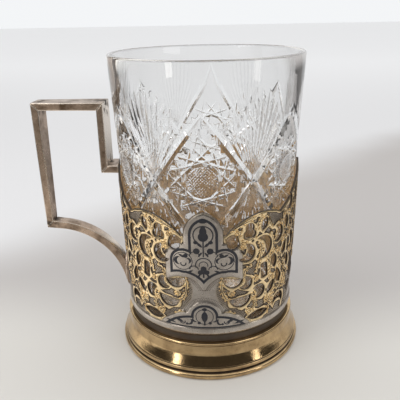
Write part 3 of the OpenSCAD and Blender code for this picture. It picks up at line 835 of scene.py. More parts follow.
CURLS = [
    (35.2, 33.4, 3.4, 200, 330), (35.2, 33.4, 1.8, 20, 300), (23.4, 52.4, 1.7, 0, 350),
    (23.4, 52.4, 0.8, 0, 350), (13.6, 44.0, 1.6, 90, -320), (50.4, 52.9, 1.9, -60, 330),
    (60.9, 30.9, 2.2, 120, -340), (45.6, 36.4, 1.2, 40, 320), (66.4, 51.4, 1.7, 200, -330),
    (80.0, 42.6, 2.1, 10, 340), (16.6, 34.0, 0.9, 0, 340), (28.6, 25.4, 1.3, 150, -330),
    (49.6, 46.7, 1.1, 0, 330), (66.6, 60.2, 1.2, 90, 320), (56.6, 59.9, 1.1, 0, 330),
    (33.4, 38.2, 1.1, 90, 320), (84.0, 56.4, 1.3, 100, -330), (85.2, 44.4, 1.2, 0, 330),
    (20.6, 57.4, 1.1, 200, 330), (42.8, 28.6, 1.1, 180, 320)]


def flowing(points):
    """A soft line through a few points of angle and height, and its thickness, thin at both ends."""
    p = np.array([points[0], *points, points[-1]], dtype=float)
    out = []
    for i in range(1, len(p) - 2):
        way = p[i + 1] - p[i - 1]
        bend = 2 * p[i - 1] - 5 * p[i] + 4 * p[i + 1] - p[i + 2]
        twist = 3 * p[i] - p[i - 1] - 3 * p[i + 1] + p[i + 2]
        for t in np.arange(LINE_STEPS) / LINE_STEPS:
            out.append(0.5 * (2 * p[i] + way * t + bend * t ** 2 + twist * t ** 3))
    out.append(p[-2])
    return np.array(out), np.sin(np.linspace(LINE_TIP, math.pi - LINE_TIP, len(out))) * 0.75 + 0.3


def curl(angle, height, radius, start, sweep):
    """A spiral that winds in round a centre, and its thickness."""
    t = np.linspace(0, 1, SPIRAL_STEPS)
    a = np.radians(start + sweep * t)
    r = radius * (1 - (1 - SPIRAL_CLOSE) * t)
    return np.stack([angle + np.degrees(r * np.cos(a) / ROLL_R), height + r * np.sin(a)], -1), 1.05 - 0.5 * t


LINES = [(np.stack([np.radians(line[:, 0]) * ROLL_R, line[:, 1]], -1), thick)
         for line, thick in [flowing(stroke) for stroke in STROKES] + [curl(*row) for row in CURLS]]
MIRRORED_LINES = [(line * (side, 1), thick) for line, thick in LINES for side in (-1, 1)]
print("scrolls in a quarter:", len(LINES))

# %% [markdown]
# Gilt strands follow every cut and every scroll. Their width swells and shrinks and their edges are
# lobed, as leaves along a stem are, and what is left between them is sunk silver ground. How far a place
# lies inside a strand is worked out once on a fine grid, and read from it after that.

# %% Gilt strands
MAP_PITCH, MAP_WIDE, MAP_HIGH = 0.2, 266, 309
CUT_STRAND, SCROLL_STRAND, SWELL, LOBES, NEAR_SCROLL = 1.12, 0.72, 0.5, 0.13, 1.5


def make_strand_map():
    """Millimetres inside the nearest gilt strand, over one quarter of the flat sheet."""
    s, z = np.arange(MAP_WIDE) * MAP_PITCH, FOOT_Z + np.arange(MAP_HIGH) * MAP_PITCH
    s, z = np.meshgrid(s, z, indexing="ij")
    scroll = np.full(s.shape, FAR)
    for line, _ in LINES:
        low, high = line.min(0) - NEAR_SCROLL, line.max(0) + NEAR_SCROLL
        close = (s > low[0]) & (s < high[0]) & (z > low[1]) & (z < high[1])
        apart = np.hypot(s[close][:, None] - line[:, 0], z[close][:, None] - line[:, 1])
        scroll[close] = np.minimum(scroll[close], apart.min(1))
    swell = SWELL * np.sin(0.9 * s + 1.9 * np.sin(0.33 * z)) * np.sin(0.75 * z + 1.3 * np.sin(0.5 * s))
    lobes = LOBES * np.sin(2.6 * s + 1.1 * z) * np.sin(2.2 * z - 1.3 * s)
    return np.maximum(CUT_STRAND + swell - metal_field(s, z), SCROLL_STRAND + 0.4 * swell - scroll) + lobes


def strands(s, z):
    """Millimetres inside a gilt strand at any place, between the values of the grid."""
    i = np.clip(np.abs(s) / MAP_PITCH, 0, MAP_WIDE - 1.01)
    j = np.clip((z - FOOT_Z) / MAP_PITCH, 0, MAP_HIGH - 1.01)
    a, b = i.astype(int), j.astype(int)
    u, v = i - a, j - b
    return ((strand_map[a, b] * (1 - u) + strand_map[a + 1, b] * u) * (1 - v)
            + (strand_map[a, b + 1] * (1 - u) + strand_map[a + 1, b + 1] * u) * v)


strand_map = make_strand_map()
print("share of the map inside a strand:", round(float((strand_map > 0).mean()), 2))

# %% [markdown]
# ## Relief and zones
# The strands are chased, so they bulge a little, and their edges are rounded by the file, while the
# ground between them is sunk. The medallion, the lunette and a half disc at each side stand up as smooth
# silver shields, and a round border runs under them all. Two marks go with the points: where the silver
# is left bare, and how dark the sheet is made, which is painted shade along the cuts, in the neck and over
# the border, with a dark line round the shields and a darker sunk ground.

# %% Relief of the sleeve
SIDE_Z, SIDE_R = 19.0, 12.6
WAIST_Z, WAIST_HALF, WAIST_BEND, WAIST_LOW, WAIST_TOP = 35.5, 4.2, 0.062, 27, 46
DOME, DOME_REACH, EDGE_DEEP, GROUND_DEEP, SHIELD_HIGH, SIDE_BEAD = 0.24, 0.6, 0.16, 0.26, 0.22, 0.16
BORDER_Z, BORDER_HALF, BORDER_HIGH, BORDER_LOW, BORDER_TOP = 19.0, 1.5, 0.45, 17.5, 20.5


def step(value, low, high):
    t = np.clip((value - low) / (high - low), 0, 1)
    return t * t * (3 - 2 * t)


def side_disc(ahead, z):
    return np.hypot(ahead, z - SIDE_Z) - SIDE_R


def shields(s, z):
    """How far a place belongs to the plain silver, from 0 to 1."""
    x, ahead = drum_place(s, z)
    upper, lower = shield_edges(x, z)
    waist = WAIST_HALF + WAIST_BEND * (z - WAIST_Z) ** 2 - x
    waist = np.where((z > WAIST_LOW) & (z < WAIST_TOP), waist, -1.0)
    return step(np.maximum.reduce([-upper, -lower, waist, WING_LOW - z, -side_disc(ahead, z)]), -0.1, 0.25)


def relief(s, z):
    """The height of the chased face over the plain sheet, in millimetres."""
    s, z = np.atleast_1d(s), np.atleast_1d(z)
    x, ahead = drum_place(s, z)
    near = metal_field(s, z)
    ground = 1 - step(strands(s, z), -0.25, 0.2)
    dome = DOME * (1 - (1 - np.clip(near / DOME_REACH, 0, 1)) ** 2) - EDGE_DEEP - GROUND_DEEP * ground
    hammered = 0.05 * np.sin(s * 0.9 + 1.3 * np.sin(z * 0.31)) * np.sin(z * 0.8 + 0.7 * np.sin(s * 0.5))
    shield = np.maximum.reduce([step(-edge, 0, 0.5) for edge in shield_edges(x, z)])
    height = (dome + hammered) * (1 - shield) + SHIELD_HIGH * shield
    height = height + SIDE_BEAD * step(0.9 - np.abs(side_disc(ahead, z)), 0, 0.5) * (z > 20.6)
    border = np.sqrt(np.clip(1 - ((z - BORDER_Z) / BORDER_HALF) ** 2, 0, 1)) * BORDER_HIGH
    height = np.where((z < BORDER_TOP) & (z > BORDER_LOW), border - 0.1, height)
    return np.where(z < BORDER_LOW, -0.02, height * np.clip(near / 0.15, 0.4, 1))


def shade(s, z):
    """Painted shade at cuts, neck and border, a dark line round the shields, and a darker sunk ground."""
    upper, lower = shield_edges(drum_place(s, z)[0], z)
    # Painted shade at the cuts, in the neck and over the border; a dark line round the shields and a darker
    # sunk ground.
    cut_edge = 1 - step(metal_field(s, z), 0.02, 0.42)
    groove = 1 - np.minimum(np.abs(upper), np.abs(lower) + (z < 20.9) * FAR) / 0.3
    ground = 0.42 * (1 - step(strands(s, z), -0.3, 0.1)) * (1 - shields(s, z)) * (z > WING_LOW)
    neck, over_border = (z < 17.2) * 1.0, 1 - np.abs(z - 20.55) / 0.22
    return np.clip(np.maximum.reduce([cut_edge, groove, ground, neck, over_border]), 0, 1)


def zones(s, z):
    """Where the silver is bare: the plain shields and the sunk ground between the strands."""
    return np.maximum(shields(s, z), 0.8 * (1 - step(strands(s, z), -0.25, 0.1)))


print("relief at the medallion:", round(float(relief(0.0, 50.0)[0]), 3), "mm")

# %% [markdown]
# The sleeve's metal is gilt or silver by the first mark and dark by the second, which carries the painted
# shade. The walls of the saw cuts are dark as well, oxide with painted shade, and the inner face, which
# nobody polished, keeps a duller and deeper gold.

# %% The gilt and silver metal of the sleeve
SHADE_AND_OXIDE_DARK, SAW_ROUGH, INNER_GOLD = (0.055, 0.040, 0.030, 1), 0.55, (0.80, 0.51, 0.23, 1)


def make_chased():
    material, tree, surface = new_material("chased", Metallic=1.0)
    gold = age_of(tree, (1.0, 0.79, 0.48), (0.56, 0.38, 0.20), 0.5, 0.2, 0.36)
    bare = age_of(tree, (0.60, 0.545, 0.49), (0.27, 0.22, 0.185), 0.5, 0.24, 0.42)
    zone, back = mark(tree, "zone"), mark(tree, "back")
    # Dark oxide on the saw-cut walls, and painted shade from the shade mark.
    shade_and_oxide = maths(tree, "MAXIMUM", mark(tree, "wall"), maths(tree, "MULTIPLY", mark(tree, "shade"), 0.86))
    metal = mix(tree, zone, gold["Color"], bare["Color"])
    metal = mix(tree, maths(tree, "MULTIPLY", back, 0.85), metal, INNER_GOLD)
    rough = mix(tree, zone, gold["Roughness"], bare["Roughness"], "FLOAT")
    feed(tree, surface, Metallic=maths(tree, "MULTIPLY_ADD", back, -0.55, 1.0),
         Base_Color=mix(tree, shade_and_oxide, metal, SHADE_AND_OXIDE_DARK), Roughness=mix(tree, shade_and_oxide, rough, SAW_ROUGH, "FLOAT"),
         Normal=socket(tree, "ShaderNodeBump", {"Height": gold["Height"], "Distance": 0.03 * MM}))
    return material


chased = make_chased()
print("material", chased.name, "has", len(chased.node_tree.nodes), "nodes")

# %% [markdown]
# Two half sheets meet behind the handle and opposite to it, where the real sheet has its seams as well.

# %% Two half sheets
HALF, SHEET_PITCH = ROLL_R * math.pi / 2, 0.33
FRONT_AND_BACK = (("front", 0.0), ("back", math.pi))


def make_sheet():
    points, blocks = march(metal_field, (-HALF, FOOT_Z), (HALF, PEAK_Z), SHEET_PITCH)
    s, z = points.T
    marks = {"zone": zones(s, z), "shade": shade(s, z)}
    return flat_sheet(points, blocks, relief(s, z), np.full(len(s), -SHEET), marks)


sheet = make_sheet()
for word, turn_by in FRONT_AND_BACK:
    rolled_up = worked_out(sheet, roll, Turn=turn_by, Finish=chased)
    settle("sleeve_sheet_" + word, rolled_up, "holder", "gilt", "pierced_sleeve")

# %% [markdown]
# ## Niello
# Niello is a black alloy, melted into engraved beds and polished flush. Its figures are drawn as one
# field of small shapes: an outline, a bud, a stem, dots and curls, and a lotus over a spade. The smallest
# distance of all the shapes is the distance of the whole drawing. The numbers are places on the shield,
# in millimetres.

# %% The figures
OUTLINE_WIDE = 0.95


def ring(x, z, cx, cz, r, half):
    return np.abs(disc(x, z, cx, cz, r)) - half


def blob(x, z, cx, cz, half_x, half_z):
    return (np.hypot((x - cx) / half_x, (z - cz) / half_z) - 1) * min(half_x, half_z)


def crescent(x, z, cx, cz, r, shift, lift=0.0):
    return np.maximum(disc(x, z, cx, cz, r), -disc(x, z, cx + shift, cz + lift, r))


def bar(a, z, half, cz, half_z):
    return np.maximum(a - half, np.abs(z - cz) - half_z)


def leaning_leaf(x, z, cx, cz, angle, length, width):
    return leaf(*leaned(x - cx, z - cz, angle), length, width)


def medallion_black(x, z):
    m, a = medallion(x, z), np.abs(x)
    frame_line = np.maximum(m, -(m + OUTLINE_WIDE))
    bud = [blob(x, z, 0, 62.9, 1.5, 0.9), np.maximum(ring(x, z, 0, 57.6, 3.35, 0.22), 54.9 - z),
           blob(a, z, 2.55, 54.9, 0.8, 0.65), disc(x, z, 0, 57.0, 1.75), leaf(x, z - 58.7, 5.2, 2.5)]
    stem = [bar(a, z, 0.24, 52.6, 3.2), leaning_leaf(a, z, 1.3, 54.0, -48, 2.7, 0.95),
            disc(a, z, 2.35, 51.6, 1.15), leaning_leaf(a, z, 1.1, 50.4, 40, 2.3, 0.7),
            np.maximum(ring(a, z, 3.1, 49.6, 1.7, 0.16), 49.4 - z)]
    lobes = [ring(a, z, 7.2, 47.5, 3.3, 0.15), crescent(a, z, 8.7, 47.6, 1.6, -1.1),
             disc(a, z, 6.2, 49.6, 0.8), crescent(a, z, 5.3, 47.8, 1.1, 0.75, -0.3),
             np.maximum(ring(a, z, 7.0, 46.6, 0.9, 0.22), z - 46.9),
             leaning_leaf(a, z, 7.6, 49.5, -62, 2.4, 0.8)]
    lotus = [np.maximum(ring(x, z, 0, 46.2, 2.75, 0.2), 45.2 - z),
             np.maximum(ring(a, z, 3.3, 44.4, 1.5, 0.18), 44.5 - z),
             np.maximum(ring(x, z, 0, 46.1, 1.5, 0.16), 45.7 - z)]
    spade = [disc(x, z, 0, 44.8, 1.05), disc(a, z, 1.1, 43.4, 0.95), bar(a, z, 0.3, 42.5, 1.2),
             leaning_leaf(a, z, 1.7, 41.9, 35, 2.4, 0.75), leaning_leaf(a, z, 4.6, 43.7, 70, 2.2, 0.7)]
    return -np.minimum.reduce([frame_line, *bud, *stem, *lobes, *lotus, *spade])


def lunette_black(x, z):
    a = np.abs(x)
    frame_line = np.maximum(lunette(x, z), -lunette(x, z, -OUTLINE_WIDE, 0.6))
    bud = [blob(x, z, 0, 28.3, 0.9, 0.7), leaf(x, z - 25.2, 4.8, 2.3), ring(x, z, 0, 25.2, 3.1, 0.14),
           disc(a, z, 2.0, 22.6, 0.6), bar(a, z, 0.3, 22.4, 0.8)]
    wings = [crescent(a, z, 5.6, 22.9, 1.35, 0.7, 0.4), crescent(a, z, 3.6, 23.9, 1.0, -0.55, 0.4),
             np.maximum(ring(a, z, 8.0, 22.7, 0.9, 0.2), z - 23.0), disc(a, z, 6.4, 21.9, 0.5),
             leaning_leaf(a, z, 9.3, 23.1, -65, 3.8, 1.1), leaning_leaf(a, z, 12.4, 22.0, -78, 4.0, 0.8)]
    return -np.minimum.reduce([frame_line, *bud, *wings])


print("black at the middle of the bud:", bool(medallion_black(0.0, 57.0) > 0))

# %% [markdown]
# An inlay is a closed piece of its own. It fills its bed from below, and its upper edge is a little
# rounded.

# %% Four inlays
NIELLO_PITCH, BED_DEEP, POLISHED_EDGE, POLISH_HIGH = 0.13, 0.3, 0.15, 0.05
FIGURES = {"medallion": (medallion_black, (-12.6, 37.5), (12.6, 64.6)),
           "lunette": (lunette_black, (-19.5, 20.2), (19.5, 30.8))}


def inlay_mesh(figures, low, high):
    def flat_figures(s, z):
        return figures(wall_r(z) * np.sin(s / ROLL_R), z)
    points, blocks = march(flat_figures, low, high, NIELLO_PITCH)
    rounding = POLISH_HIGH * np.clip(flat_figures(*points.T) / POLISHED_EDGE, 0, 1)
    return flat_sheet(points, blocks, SHIELD_HIGH + rounding, np.full(len(points), -BED_DEEP))


flat_inlays = {label: inlay_mesh(*drawing) for label, drawing in FIGURES.items()}
for word, turn_by in FRONT_AND_BACK:
    for label, flat_inlay in flat_inlays.items():
        rolled_up = worked_out(flat_inlay, roll, Turn=turn_by, Finish=niello)
        settle(label + "_inlay_" + word, rolled_up, "holder", "niello", word + "_" + label + "_niello")

# %% [markdown]
# ## The engraver's lines
# A dark line runs along the edge of every gilt strand, the graver drew the scrolls and spirals on them,
# and short strokes hatch the sunk ground. A line is a thin rod of dark oxide, sunk in the sheet until
# only its back shows.

# %% Lines drawn on the flat sheet
CHASED_LOW, EDGE_LEVEL, ROD_SUNK, SCROLL_THIN, HATCH_THIN = 20.9, -0.02, 0.03, 0.62, 0.5
HATCH_PITCH, HATCH_STEP, HATCH_REACH, HATCH_ROWS, HATCH_LEANS, HATCH_Z = 0.62, 0.3, 75, 130, (-38, 52), 46


def strand_edges():
    """Points and edges of the outline of the strands, on the chased part of the sheet only."""
    def inside_strand(s, z):
        return strands(s, z) - EDGE_LEVEL
    points, blocks = march(inside_strand, (-HALF, CHASED_LOW), (HALF, PEAK_Z), SHEET_PITCH)
    edges = rim_edges(blocks, len(points))
    s, z = points[edges].mean(1).T
    at_seam = np.abs(np.abs(s) - HALF) < 0.01
    off = (shields(s, z) > 0.5) | (metal_field(s, z) < 0.1) | at_seam | (z < CHASED_LOW + 0.05)
    return only_used(points, edges[~off])


def hatching():
    """Short parallel strokes in the sunk ground, leaned one way or the other from patch to patch."""
    out = []
    along, across = np.arange(-HATCH_REACH, HATCH_REACH, HATCH_STEP), np.arange(-HATCH_ROWS, HATCH_ROWS + 1)
    t, k = np.meshgrid(along, across)
    for lean in HATCH_LEANS:
        c, d = math.cos(math.radians(lean)), math.sin(math.radians(lean))
        s, z = t * c - k * HATCH_PITCH * d, HATCH_Z + t * d + k * HATCH_PITCH * c
        on = (np.abs(s) < HALF) & (z > CHASED_LOW) & (z < PEAK_Z)
        way = np.sin(s * 0.42 + 2.0 * np.sin(z * 0.23)) * np.sin(z * 0.37 + 1.7 * np.sin(s * 0.19))
        on &= (way > 0) == (lean > 0)
        sunk = np.zeros(on.shape, bool)
        a, b = s[on], z[on]
        sunk[on] = (strands(a, b) < -0.22) & (shields(a, b) < 0.2) & (metal_field(a, b) > 0.4)
        out += [(np.stack([s[i], z[i]], -1), sunk[i]) for i in np.flatnonzero(sunk.any(1))]
    return out


def lines_mesh():
    """Edges of the strands, scrolls and hatching as one net of lines, laid on the relief."""
    points, edges, _ = strand_edges()
    all_points, all_edges, widths, at = [points], [edges], [np.ones(len(points))], len(points)
    strokes = [(line, thick * SCROLL_THIN, (metal_field(*line.T) > 0.15) & (shields(*line.T) < 0.25))
               for line, thick in MIRRORED_LINES]
    strokes += [(line, np.full(len(line), HATCH_THIN), sunk) for line, sunk in hatching()]
    for line, thick, clear in strokes:
        keep = np.flatnonzero(clear[:-1] & clear[1:])
        all_points.append(line)
        all_edges.append(np.stack([keep, keep + 1], -1) + at)
        widths.append(thick)
        at += len(line)
    points, edges, used = only_used(np.concatenate(all_points), np.concatenate(all_edges))
    s, z = points.T
    mesh = mesh_of(np.stack([s, ROD_SUNK - relief(s, z), z], -1), edges.tolist())
    write_mark(mesh, "thick", np.concatenate(widths)[used])
    return mesh


lines = lines_mesh()
print("points on the engraver's lines:", len(lines.vertices))

# %% [markdown]
# The tree makes curves of the lines, gives each point its own thickness, runs a small six-sided rod along
# them, and rolls the result up with the tree that rolled the sheet.

# %% The engraving tree
def rolled(group, given, flat):
    """Places the rolling tree inside another one."""
    values = {"Flat": flat, "Turn": given["Turn"], "Finish": given["Finish"]}
    return socket(group, "GeometryNodeGroup", values, node_tree=roll)


def make_engraver():
    group, given, out = new_group(
        "engraver", "GeometryNodeTree",
        [("Lines", "Geometry"), ("Rod Radius", "Float", 0.23 * MM), ("Sides", "Int", 6),
         ("Turn", "Float", 0.0), ("Finish", "Material")], [("Engraved", "Geometry")])
    curve = socket(group, "GeometryNodeMeshToCurve", {"Mesh": given["Lines"]})
    thick = socket(group, "GeometryNodeInputNamedAttribute", {"Name": "thick"}, data_type="FLOAT")
    sized = socket(group, "GeometryNodeSetCurveRadius", {"Curve": curve, "Radius": thick})
    circle = {"Resolution": given["Sides"], "Radius": given["Rod Radius"]}
    rod = socket(group, "GeometryNodeCurvePrimitiveCircle", circle)
    swept = add(group, "GeometryNodeCurveToMesh", {"Curve": sized, "Profile Curve": rod, "Fill Caps": True})
    if "Scale" in swept.inputs:
        group.links.new(socket(group, "GeometryNodeInputRadius"), swept.inputs["Scale"])
    return close_tree(group, given, out, rolled(group, given, swept.outputs[0]))


engraver = make_engraver()
for word, turn_by in FRONT_AND_BACK:
    rods = outward(worked_out(lines, engraver, Turn=turn_by, Finish=oxide))
    settle("engraved_lines_" + word, rods, "holder", "oxidised_silver")

# %% [markdown]
# ## Chased petals and punched dots
# Small raised petals follow the scrolls, and round punches fill the corners. One tree sets a low dome at
# equal steps along each line, turned to the line and leaned by an angle. Petals and dots differ only in
# its numbers.

# %% The tree for rows
def make_rows():
    group, given, out = new_group(
        "rows", "GeometryNodeTree",
        [("Lines", "Geometry"), ("Pitch", "Float", 1.4 * MM), ("Length", "Float", 0.6 * MM),
         ("Width", "Float", 0.3 * MM), ("Rise", "Float", 0.16 * MM), ("Lean", "Float", 0.9),
         ("Aside", "Float", 0.5 * MM), ("Seed", "Int", 3), ("Turn", "Float", 0.0), ("Finish", "Material")],
        [("Rows", "Geometry")])
    curve = socket(group, "GeometryNodeMeshToCurve", {"Mesh": given["Lines"]})
    stepped = {"Curve": curve, "Length": given["Pitch"]}
    steps = socket(group, "GeometryNodeResampleCurve", stepped, mode="LENGTH")
    spots = add(group, "GeometryNodeCurveToPoints", {"Curve": steps}, mode="EVALUATED").outputs
    way = parts(group, spots["Tangent"])
    angle = maths(group, "ARCTAN2", maths(group, "MULTIPLY", way["Z"], -1.0), way["X"])
    limits = {2: -0.18, 3: 0.18, "Seed": given["Seed"]}
    chance = add(group, "FunctionNodeRandomValue", limits, data_type="FLOAT").outputs[1]
    lean = maths(group, "ADD", maths(group, "ADD", angle, given["Lean"]), chance)
    down = maths(group, "MULTIPLY", maths(group, "MULTIPLY", way["X"], given["Aside"]), -1.0)
    aside = {"X": maths(group, "MULTIPLY", way["Z"], given["Aside"]), "Z": down}
    offset = socket(group, "ShaderNodeCombineXYZ", aside)
    moved = socket(group, "GeometryNodeSetPosition", {"Geometry": spots["Points"], "Offset": offset})
    ball = socket(group, "GeometryNodeMeshUVSphere", {"Segments": 8, "Rings": 5, "Radius": 1.0})
    size = {"X": given["Length"], "Y": given["Rise"], "Z": given["Width"]}
    dome = {"Geometry": ball, "Scale": socket(group, "ShaderNodeCombineXYZ", size)}
    stamp = {"Points": moved, "Instance": socket(group, "GeometryNodeTransform", dome),
             "Rotation": socket(group, "ShaderNodeCombineXYZ", {"Y": lean})}
    copies = socket(group, "GeometryNodeInstanceOnPoints", stamp)
    real = socket(group, "GeometryNodeRealizeInstances", {"Geometry": copies})
    return close_tree(group, given, out, rolled(group, given, real))


rows = make_rows()
print("tree for rows:", len(rows.nodes), "nodes")

# %% [markdown]
# The petals sit beside the scrolls, on their left and on their right. A petal is left out where it would
# hang over a cut or stand on a plain shield.

# %% Petals beside the scrolls
Row = namedtuple("Row", "aside pitch length width rise lean")
PETALS = {"petals_left": Row(0.66, 1.35, 0.78, 0.34, 0.17, 0.6),
          "petals_right": Row(-0.66, 1.6, 0.68, 0.30, 0.17, -0.6)}
PETAL_UP, PETAL_CLEAR = 0.02, 0.5


def petal_lines(shift):
    """The drawn lines, without the places where no petal fits beside them."""
    points, edges, at = [], [], 0
    for line, _ in MIRRORED_LINES:
        way = np.gradient(line, axis=0)
        way /= np.maximum(np.hypot(*way.T), 1e-6)[:, None]
        s, z = (line + np.stack([way[:, 1], -way[:, 0]], -1) * shift).T
        clear = (metal_field(s, z) > PETAL_CLEAR) & (shields(s, z) < 0.1)
        points.append(np.stack([line[:, 0], -(relief(s, z) + PETAL_UP), line[:, 1]], -1))
        edges += [(at + int(i), at + int(i) + 1) for i in np.flatnonzero(clear[:-1] & clear[1:])]
        at += len(line)
    return mesh_of(np.concatenate(points), edges)


def row_values(row):
    sizes = {label.capitalize(): size * MM for label, size in row._asdict().items() if label != "lean"}
    return {**sizes, "Lean": row.lean}


for label, row in PETALS.items():
    guide = petal_lines(row.aside)
    for word, turn_by in FRONT_AND_BACK:
        domes = worked_out(guide, rows, Turn=turn_by, Finish=gilt, **row_values(row))
        settle(label + "_" + word, domes, "holder", "gilt")

# %% [markdown]
# Two rows of punched dots run round the shields. Their lines are found by marching squares, on the
# outline of a shield that has grown by about half a millimetre and by about one.

# %% Punched dots round the shields
DOTS = Row(0.0, 0.62, 0.17, 0.17, 0.08, 0.9)
DOT_ROWS, DOT_SIDE, DOT_LOW, DOT_HIGH = (0.55, 1.15), 24, 21.2, 56.0


def dot_lines(grow_by):
    def near_shield(s, z):
        return -np.minimum(*shield_edges(wall_r(z) * np.sin(s / ROLL_R), z, grow_by))
    points, blocks = march(near_shield, (-DOT_SIDE, DOT_LOW), (DOT_SIDE, DOT_HIGH), SHEET_PITCH)
    edges = rim_edges(blocks, len(points))
    s, z = points[edges].mean(1).T
    inside = (z > DOT_LOW + 0.1) & (z < DOT_HIGH - 0.1) & (np.abs(s) < DOT_SIDE - 0.1)
    points, edges, _ = only_used(points, edges[(metal_field(s, z) > 0.35) & inside])
    s, z = points.T
    return mesh_of(np.stack([s, -relief(s, z), z], -1), edges.tolist())


for count, grow_by in enumerate(DOT_ROWS, 1):
    guide = dot_lines(grow_by)
    for word, turn_by in FRONT_AND_BACK:
        domes = worked_out(guide, rows, Turn=turn_by, Finish=oxide, **row_values(DOTS))
        settle("punched_dots_" + word + "_" + str(count), domes, "holder", "oxidised_silver")

# %% [markdown]
# ## The handle
# The handle is a flat strap, cut with mitres and soldered at its corners. Filing and years of fingers
# have softened its edges, and there the silver shines. The side by the glass and the bend of the arm get
# a painted highlight. Each length of strap is copied from its solid, cleaned of the triangles in its flat
# faces, and bevelled. The faces of the bevel carry a mark that the metal reads as wear, and the faces
# with a painted highlight carry the same mark.

# %% The strap
EDGE_FILED, ARM_FILED, BEVEL_STEPS, SHARP_ANGLE = 0.35, 0.8, 3, math.radians(25)
WELD, FLAT_ANGLE, SMALL_FACE = 0.002 * MM, math.radians(0.5), 12 * MM * MM
HIGHLIGHT_MOST, ARM_HIGHLIGHT_X, ARM_HIGHLIGHT_REACH = 1.3, -39.5, 6.0


def painted_highlight(node, face):
    """A painted highlight on a face: the riser's side by the glass, and the top of the arm near the sleeve.
    """
    if node == "handle_riser":
        return HIGHLIGHT_MOST * (face.normal.x > 0.9)
    if node == "handle_arm" and face.normal.z > 0.2:
        apart = abs(face.calc_center_median().x / MM - ARM_HIGHLIGHT_X)
        return max(0.0, HIGHLIGHT_MOST - apart / ARM_HIGHLIGHT_REACH)
    return 0.0


def soften(node):
    width = ARM_FILED if node == "handle_arm" else EDGE_FILED
    work = bmesh.new()
    work.from_mesh(frame["nodes"][node].data)
    bmesh.ops.remove_doubles(work, verts=work.verts, dist=WELD)
    bmesh.ops.dissolve_limit(work, angle_limit=FLAT_ANGLE, verts=work.verts, edges=work.edges)
    wear_and_sheen_layer = work.faces.layers.float.new("wear_and_sheen")
    sharp = [e for e in work.edges if len(e.link_faces) == 2 and e.calc_face_angle(0) > SHARP_ANGLE]
    made = bmesh.ops.bevel(work, geom=sharp, offset=width * MM, segments=BEVEL_STEPS, profile=0.5,
                           affect="EDGES", clamp_overlap=True)
    for face in made["faces"]:
        face[wear_and_sheen_layer] = 1.0
    for face in work.faces:
        face.smooth = face[wear_and_sheen_layer] > 0.5 or face.calc_area() < SMALL_FACE
    bmesh.ops.recalc_face_normals(work, faces=work.faces)
    for face in work.faces:
        # The painted highlights join the wear of the filed edges in the same mark.
        face[wear_and_sheen_layer] = max(face[wear_and_sheen_layer], painted_highlight(node, face))
    mesh = bpy.data.meshes.new(node)
    work.to_mesh(mesh)
    work.free()
    mesh.materials.append(oxidised)
    settle(node + "_filed", mesh, "holder", "oxidised_silver", node)


for node in STRAPS:
    soften(node)

# %% [markdown]
# ## Cut crystal
# The glass was blown plain, and a cutter then held it against a turning wheel. Each touch of the wheel is
# a groove with two flat sides that runs out in a point at both ends. The pattern is one sixth of the
# wall: a hatched lens in a star, a diamond of heavy bars round it, and a fan of rays over each corner of
# the diamond. A groove has its two ends, its width, the shares of its length between which it is full,
# the slope of its sides, and how much of that slope fades towards its end.

# %% The pattern of the wheel
Groove = namedtuple("Groove", "x0 z0 x1 z1 width full_from full_to slope fade")
GLASS_LOW, GLASS_TOP = round(GLASS_FOOT_Z + 2.0, 2), round(GLASS_RIM_Z - 0.8, 2)
GLASS_FOOT_R, GLASS_ROLL, SIXTHS = 30.12, 34.0, 6
HALF_SIXTH = GLASS_ROLL * math.radians(60) / 2
CORNER_Z, LENS_Z, DIAMOND_TOP, DIAMOND_LOW = 74.8, 76.0, 99.2, 51.0
BAR_PAST, BAR_APART, BAR_OVER, BAR_WIDE = 1.05, 1.2, 0.9, 2.5
FAN_START, FAN_LOW_SHARE, FAN_LOW_WIDE = 2.0, 0.8, 1.1
FAN = ((0, 107, 1.5), (4.5, 106.5, 1.35), (9, 105.5, 1.5), (13.5, 103.5, 1.35), (18, 101, 1.5),
       (22.5, 97.5, 1.35), (27.5, 93, 1.7))
CHORD_OFF, CHORD_HALF, CHORD_WIDE, POINTS_OF_STAR = 6.4, 10.2, 1.7, 12
LENS_R, HATCH_APART, HATCH_SIDE, DIAGONAL = 5.3, 0.8, 6, 0.7071


def glass_r(z):
    return GLASS_FOOT_R + (GLASS_RIM_R - GLASS_FOOT_R) * (z - GLASS_FOOT_Z) / (GLASS_RIM_Z - GLASS_FOOT_Z)


def bars(side):
    """The upper and the lower bar of the diamond on one side."""
    corner, tip = side * HALF_SIXTH * BAR_PAST, -side * BAR_OVER
    yield Groove(corner, CORNER_Z - BAR_APART, tip, DIAMOND_TOP, BAR_WIDE, 0.06, 0.72, 0.84, 0.5)
    yield Groove(corner, CORNER_Z + BAR_APART, tip, DIAMOND_LOW, BAR_WIDE, 0.06, 0.8, 0.84, 0)


def fan(side):
    """The rays over one corner of the diamond and, but for the outermost, the shorter ones under it."""
    for lean, top, wide in FAN:
        slant, run = math.tan(math.radians(lean)), top - CORNER_Z - FAN_START
        x, low = side * (HALF_SIXTH - FAN_START * slant), CORNER_Z - FAN_START
        yield Groove(x, CORNER_Z + FAN_START, x - side * run * slant, top, wide, 0.35, 0.75, 0.55, 0.65)
        if lean < FAN[-1][0]:
            foot = side * (HALF_SIXTH - (FAN_START + run * FAN_LOW_SHARE) * slant)
            yield Groove(x, low, foot, low - run * FAN_LOW_SHARE, wide * FAN_LOW_WIDE, 0.35, 0.75, 0.6, 0.4)


def star():
    """Twelve chords round the lens, each of which joins two points of the star."""
    for k in range(POINTS_OF_STAR):
        a = FULL_TURN * (k + 0.5) / POINTS_OF_STAR
        c, s = math.cos(a), math.sin(a)
        x, z, dx, dz = CHORD_OFF * c, LENS_Z + CHORD_OFF * s, CHORD_HALF * s, CHORD_HALF * c
        yield Groove(x - dx, z + dz, x + dx, z - dz, CHORD_WIDE, 0.4, 0.6, 0.7, 0)


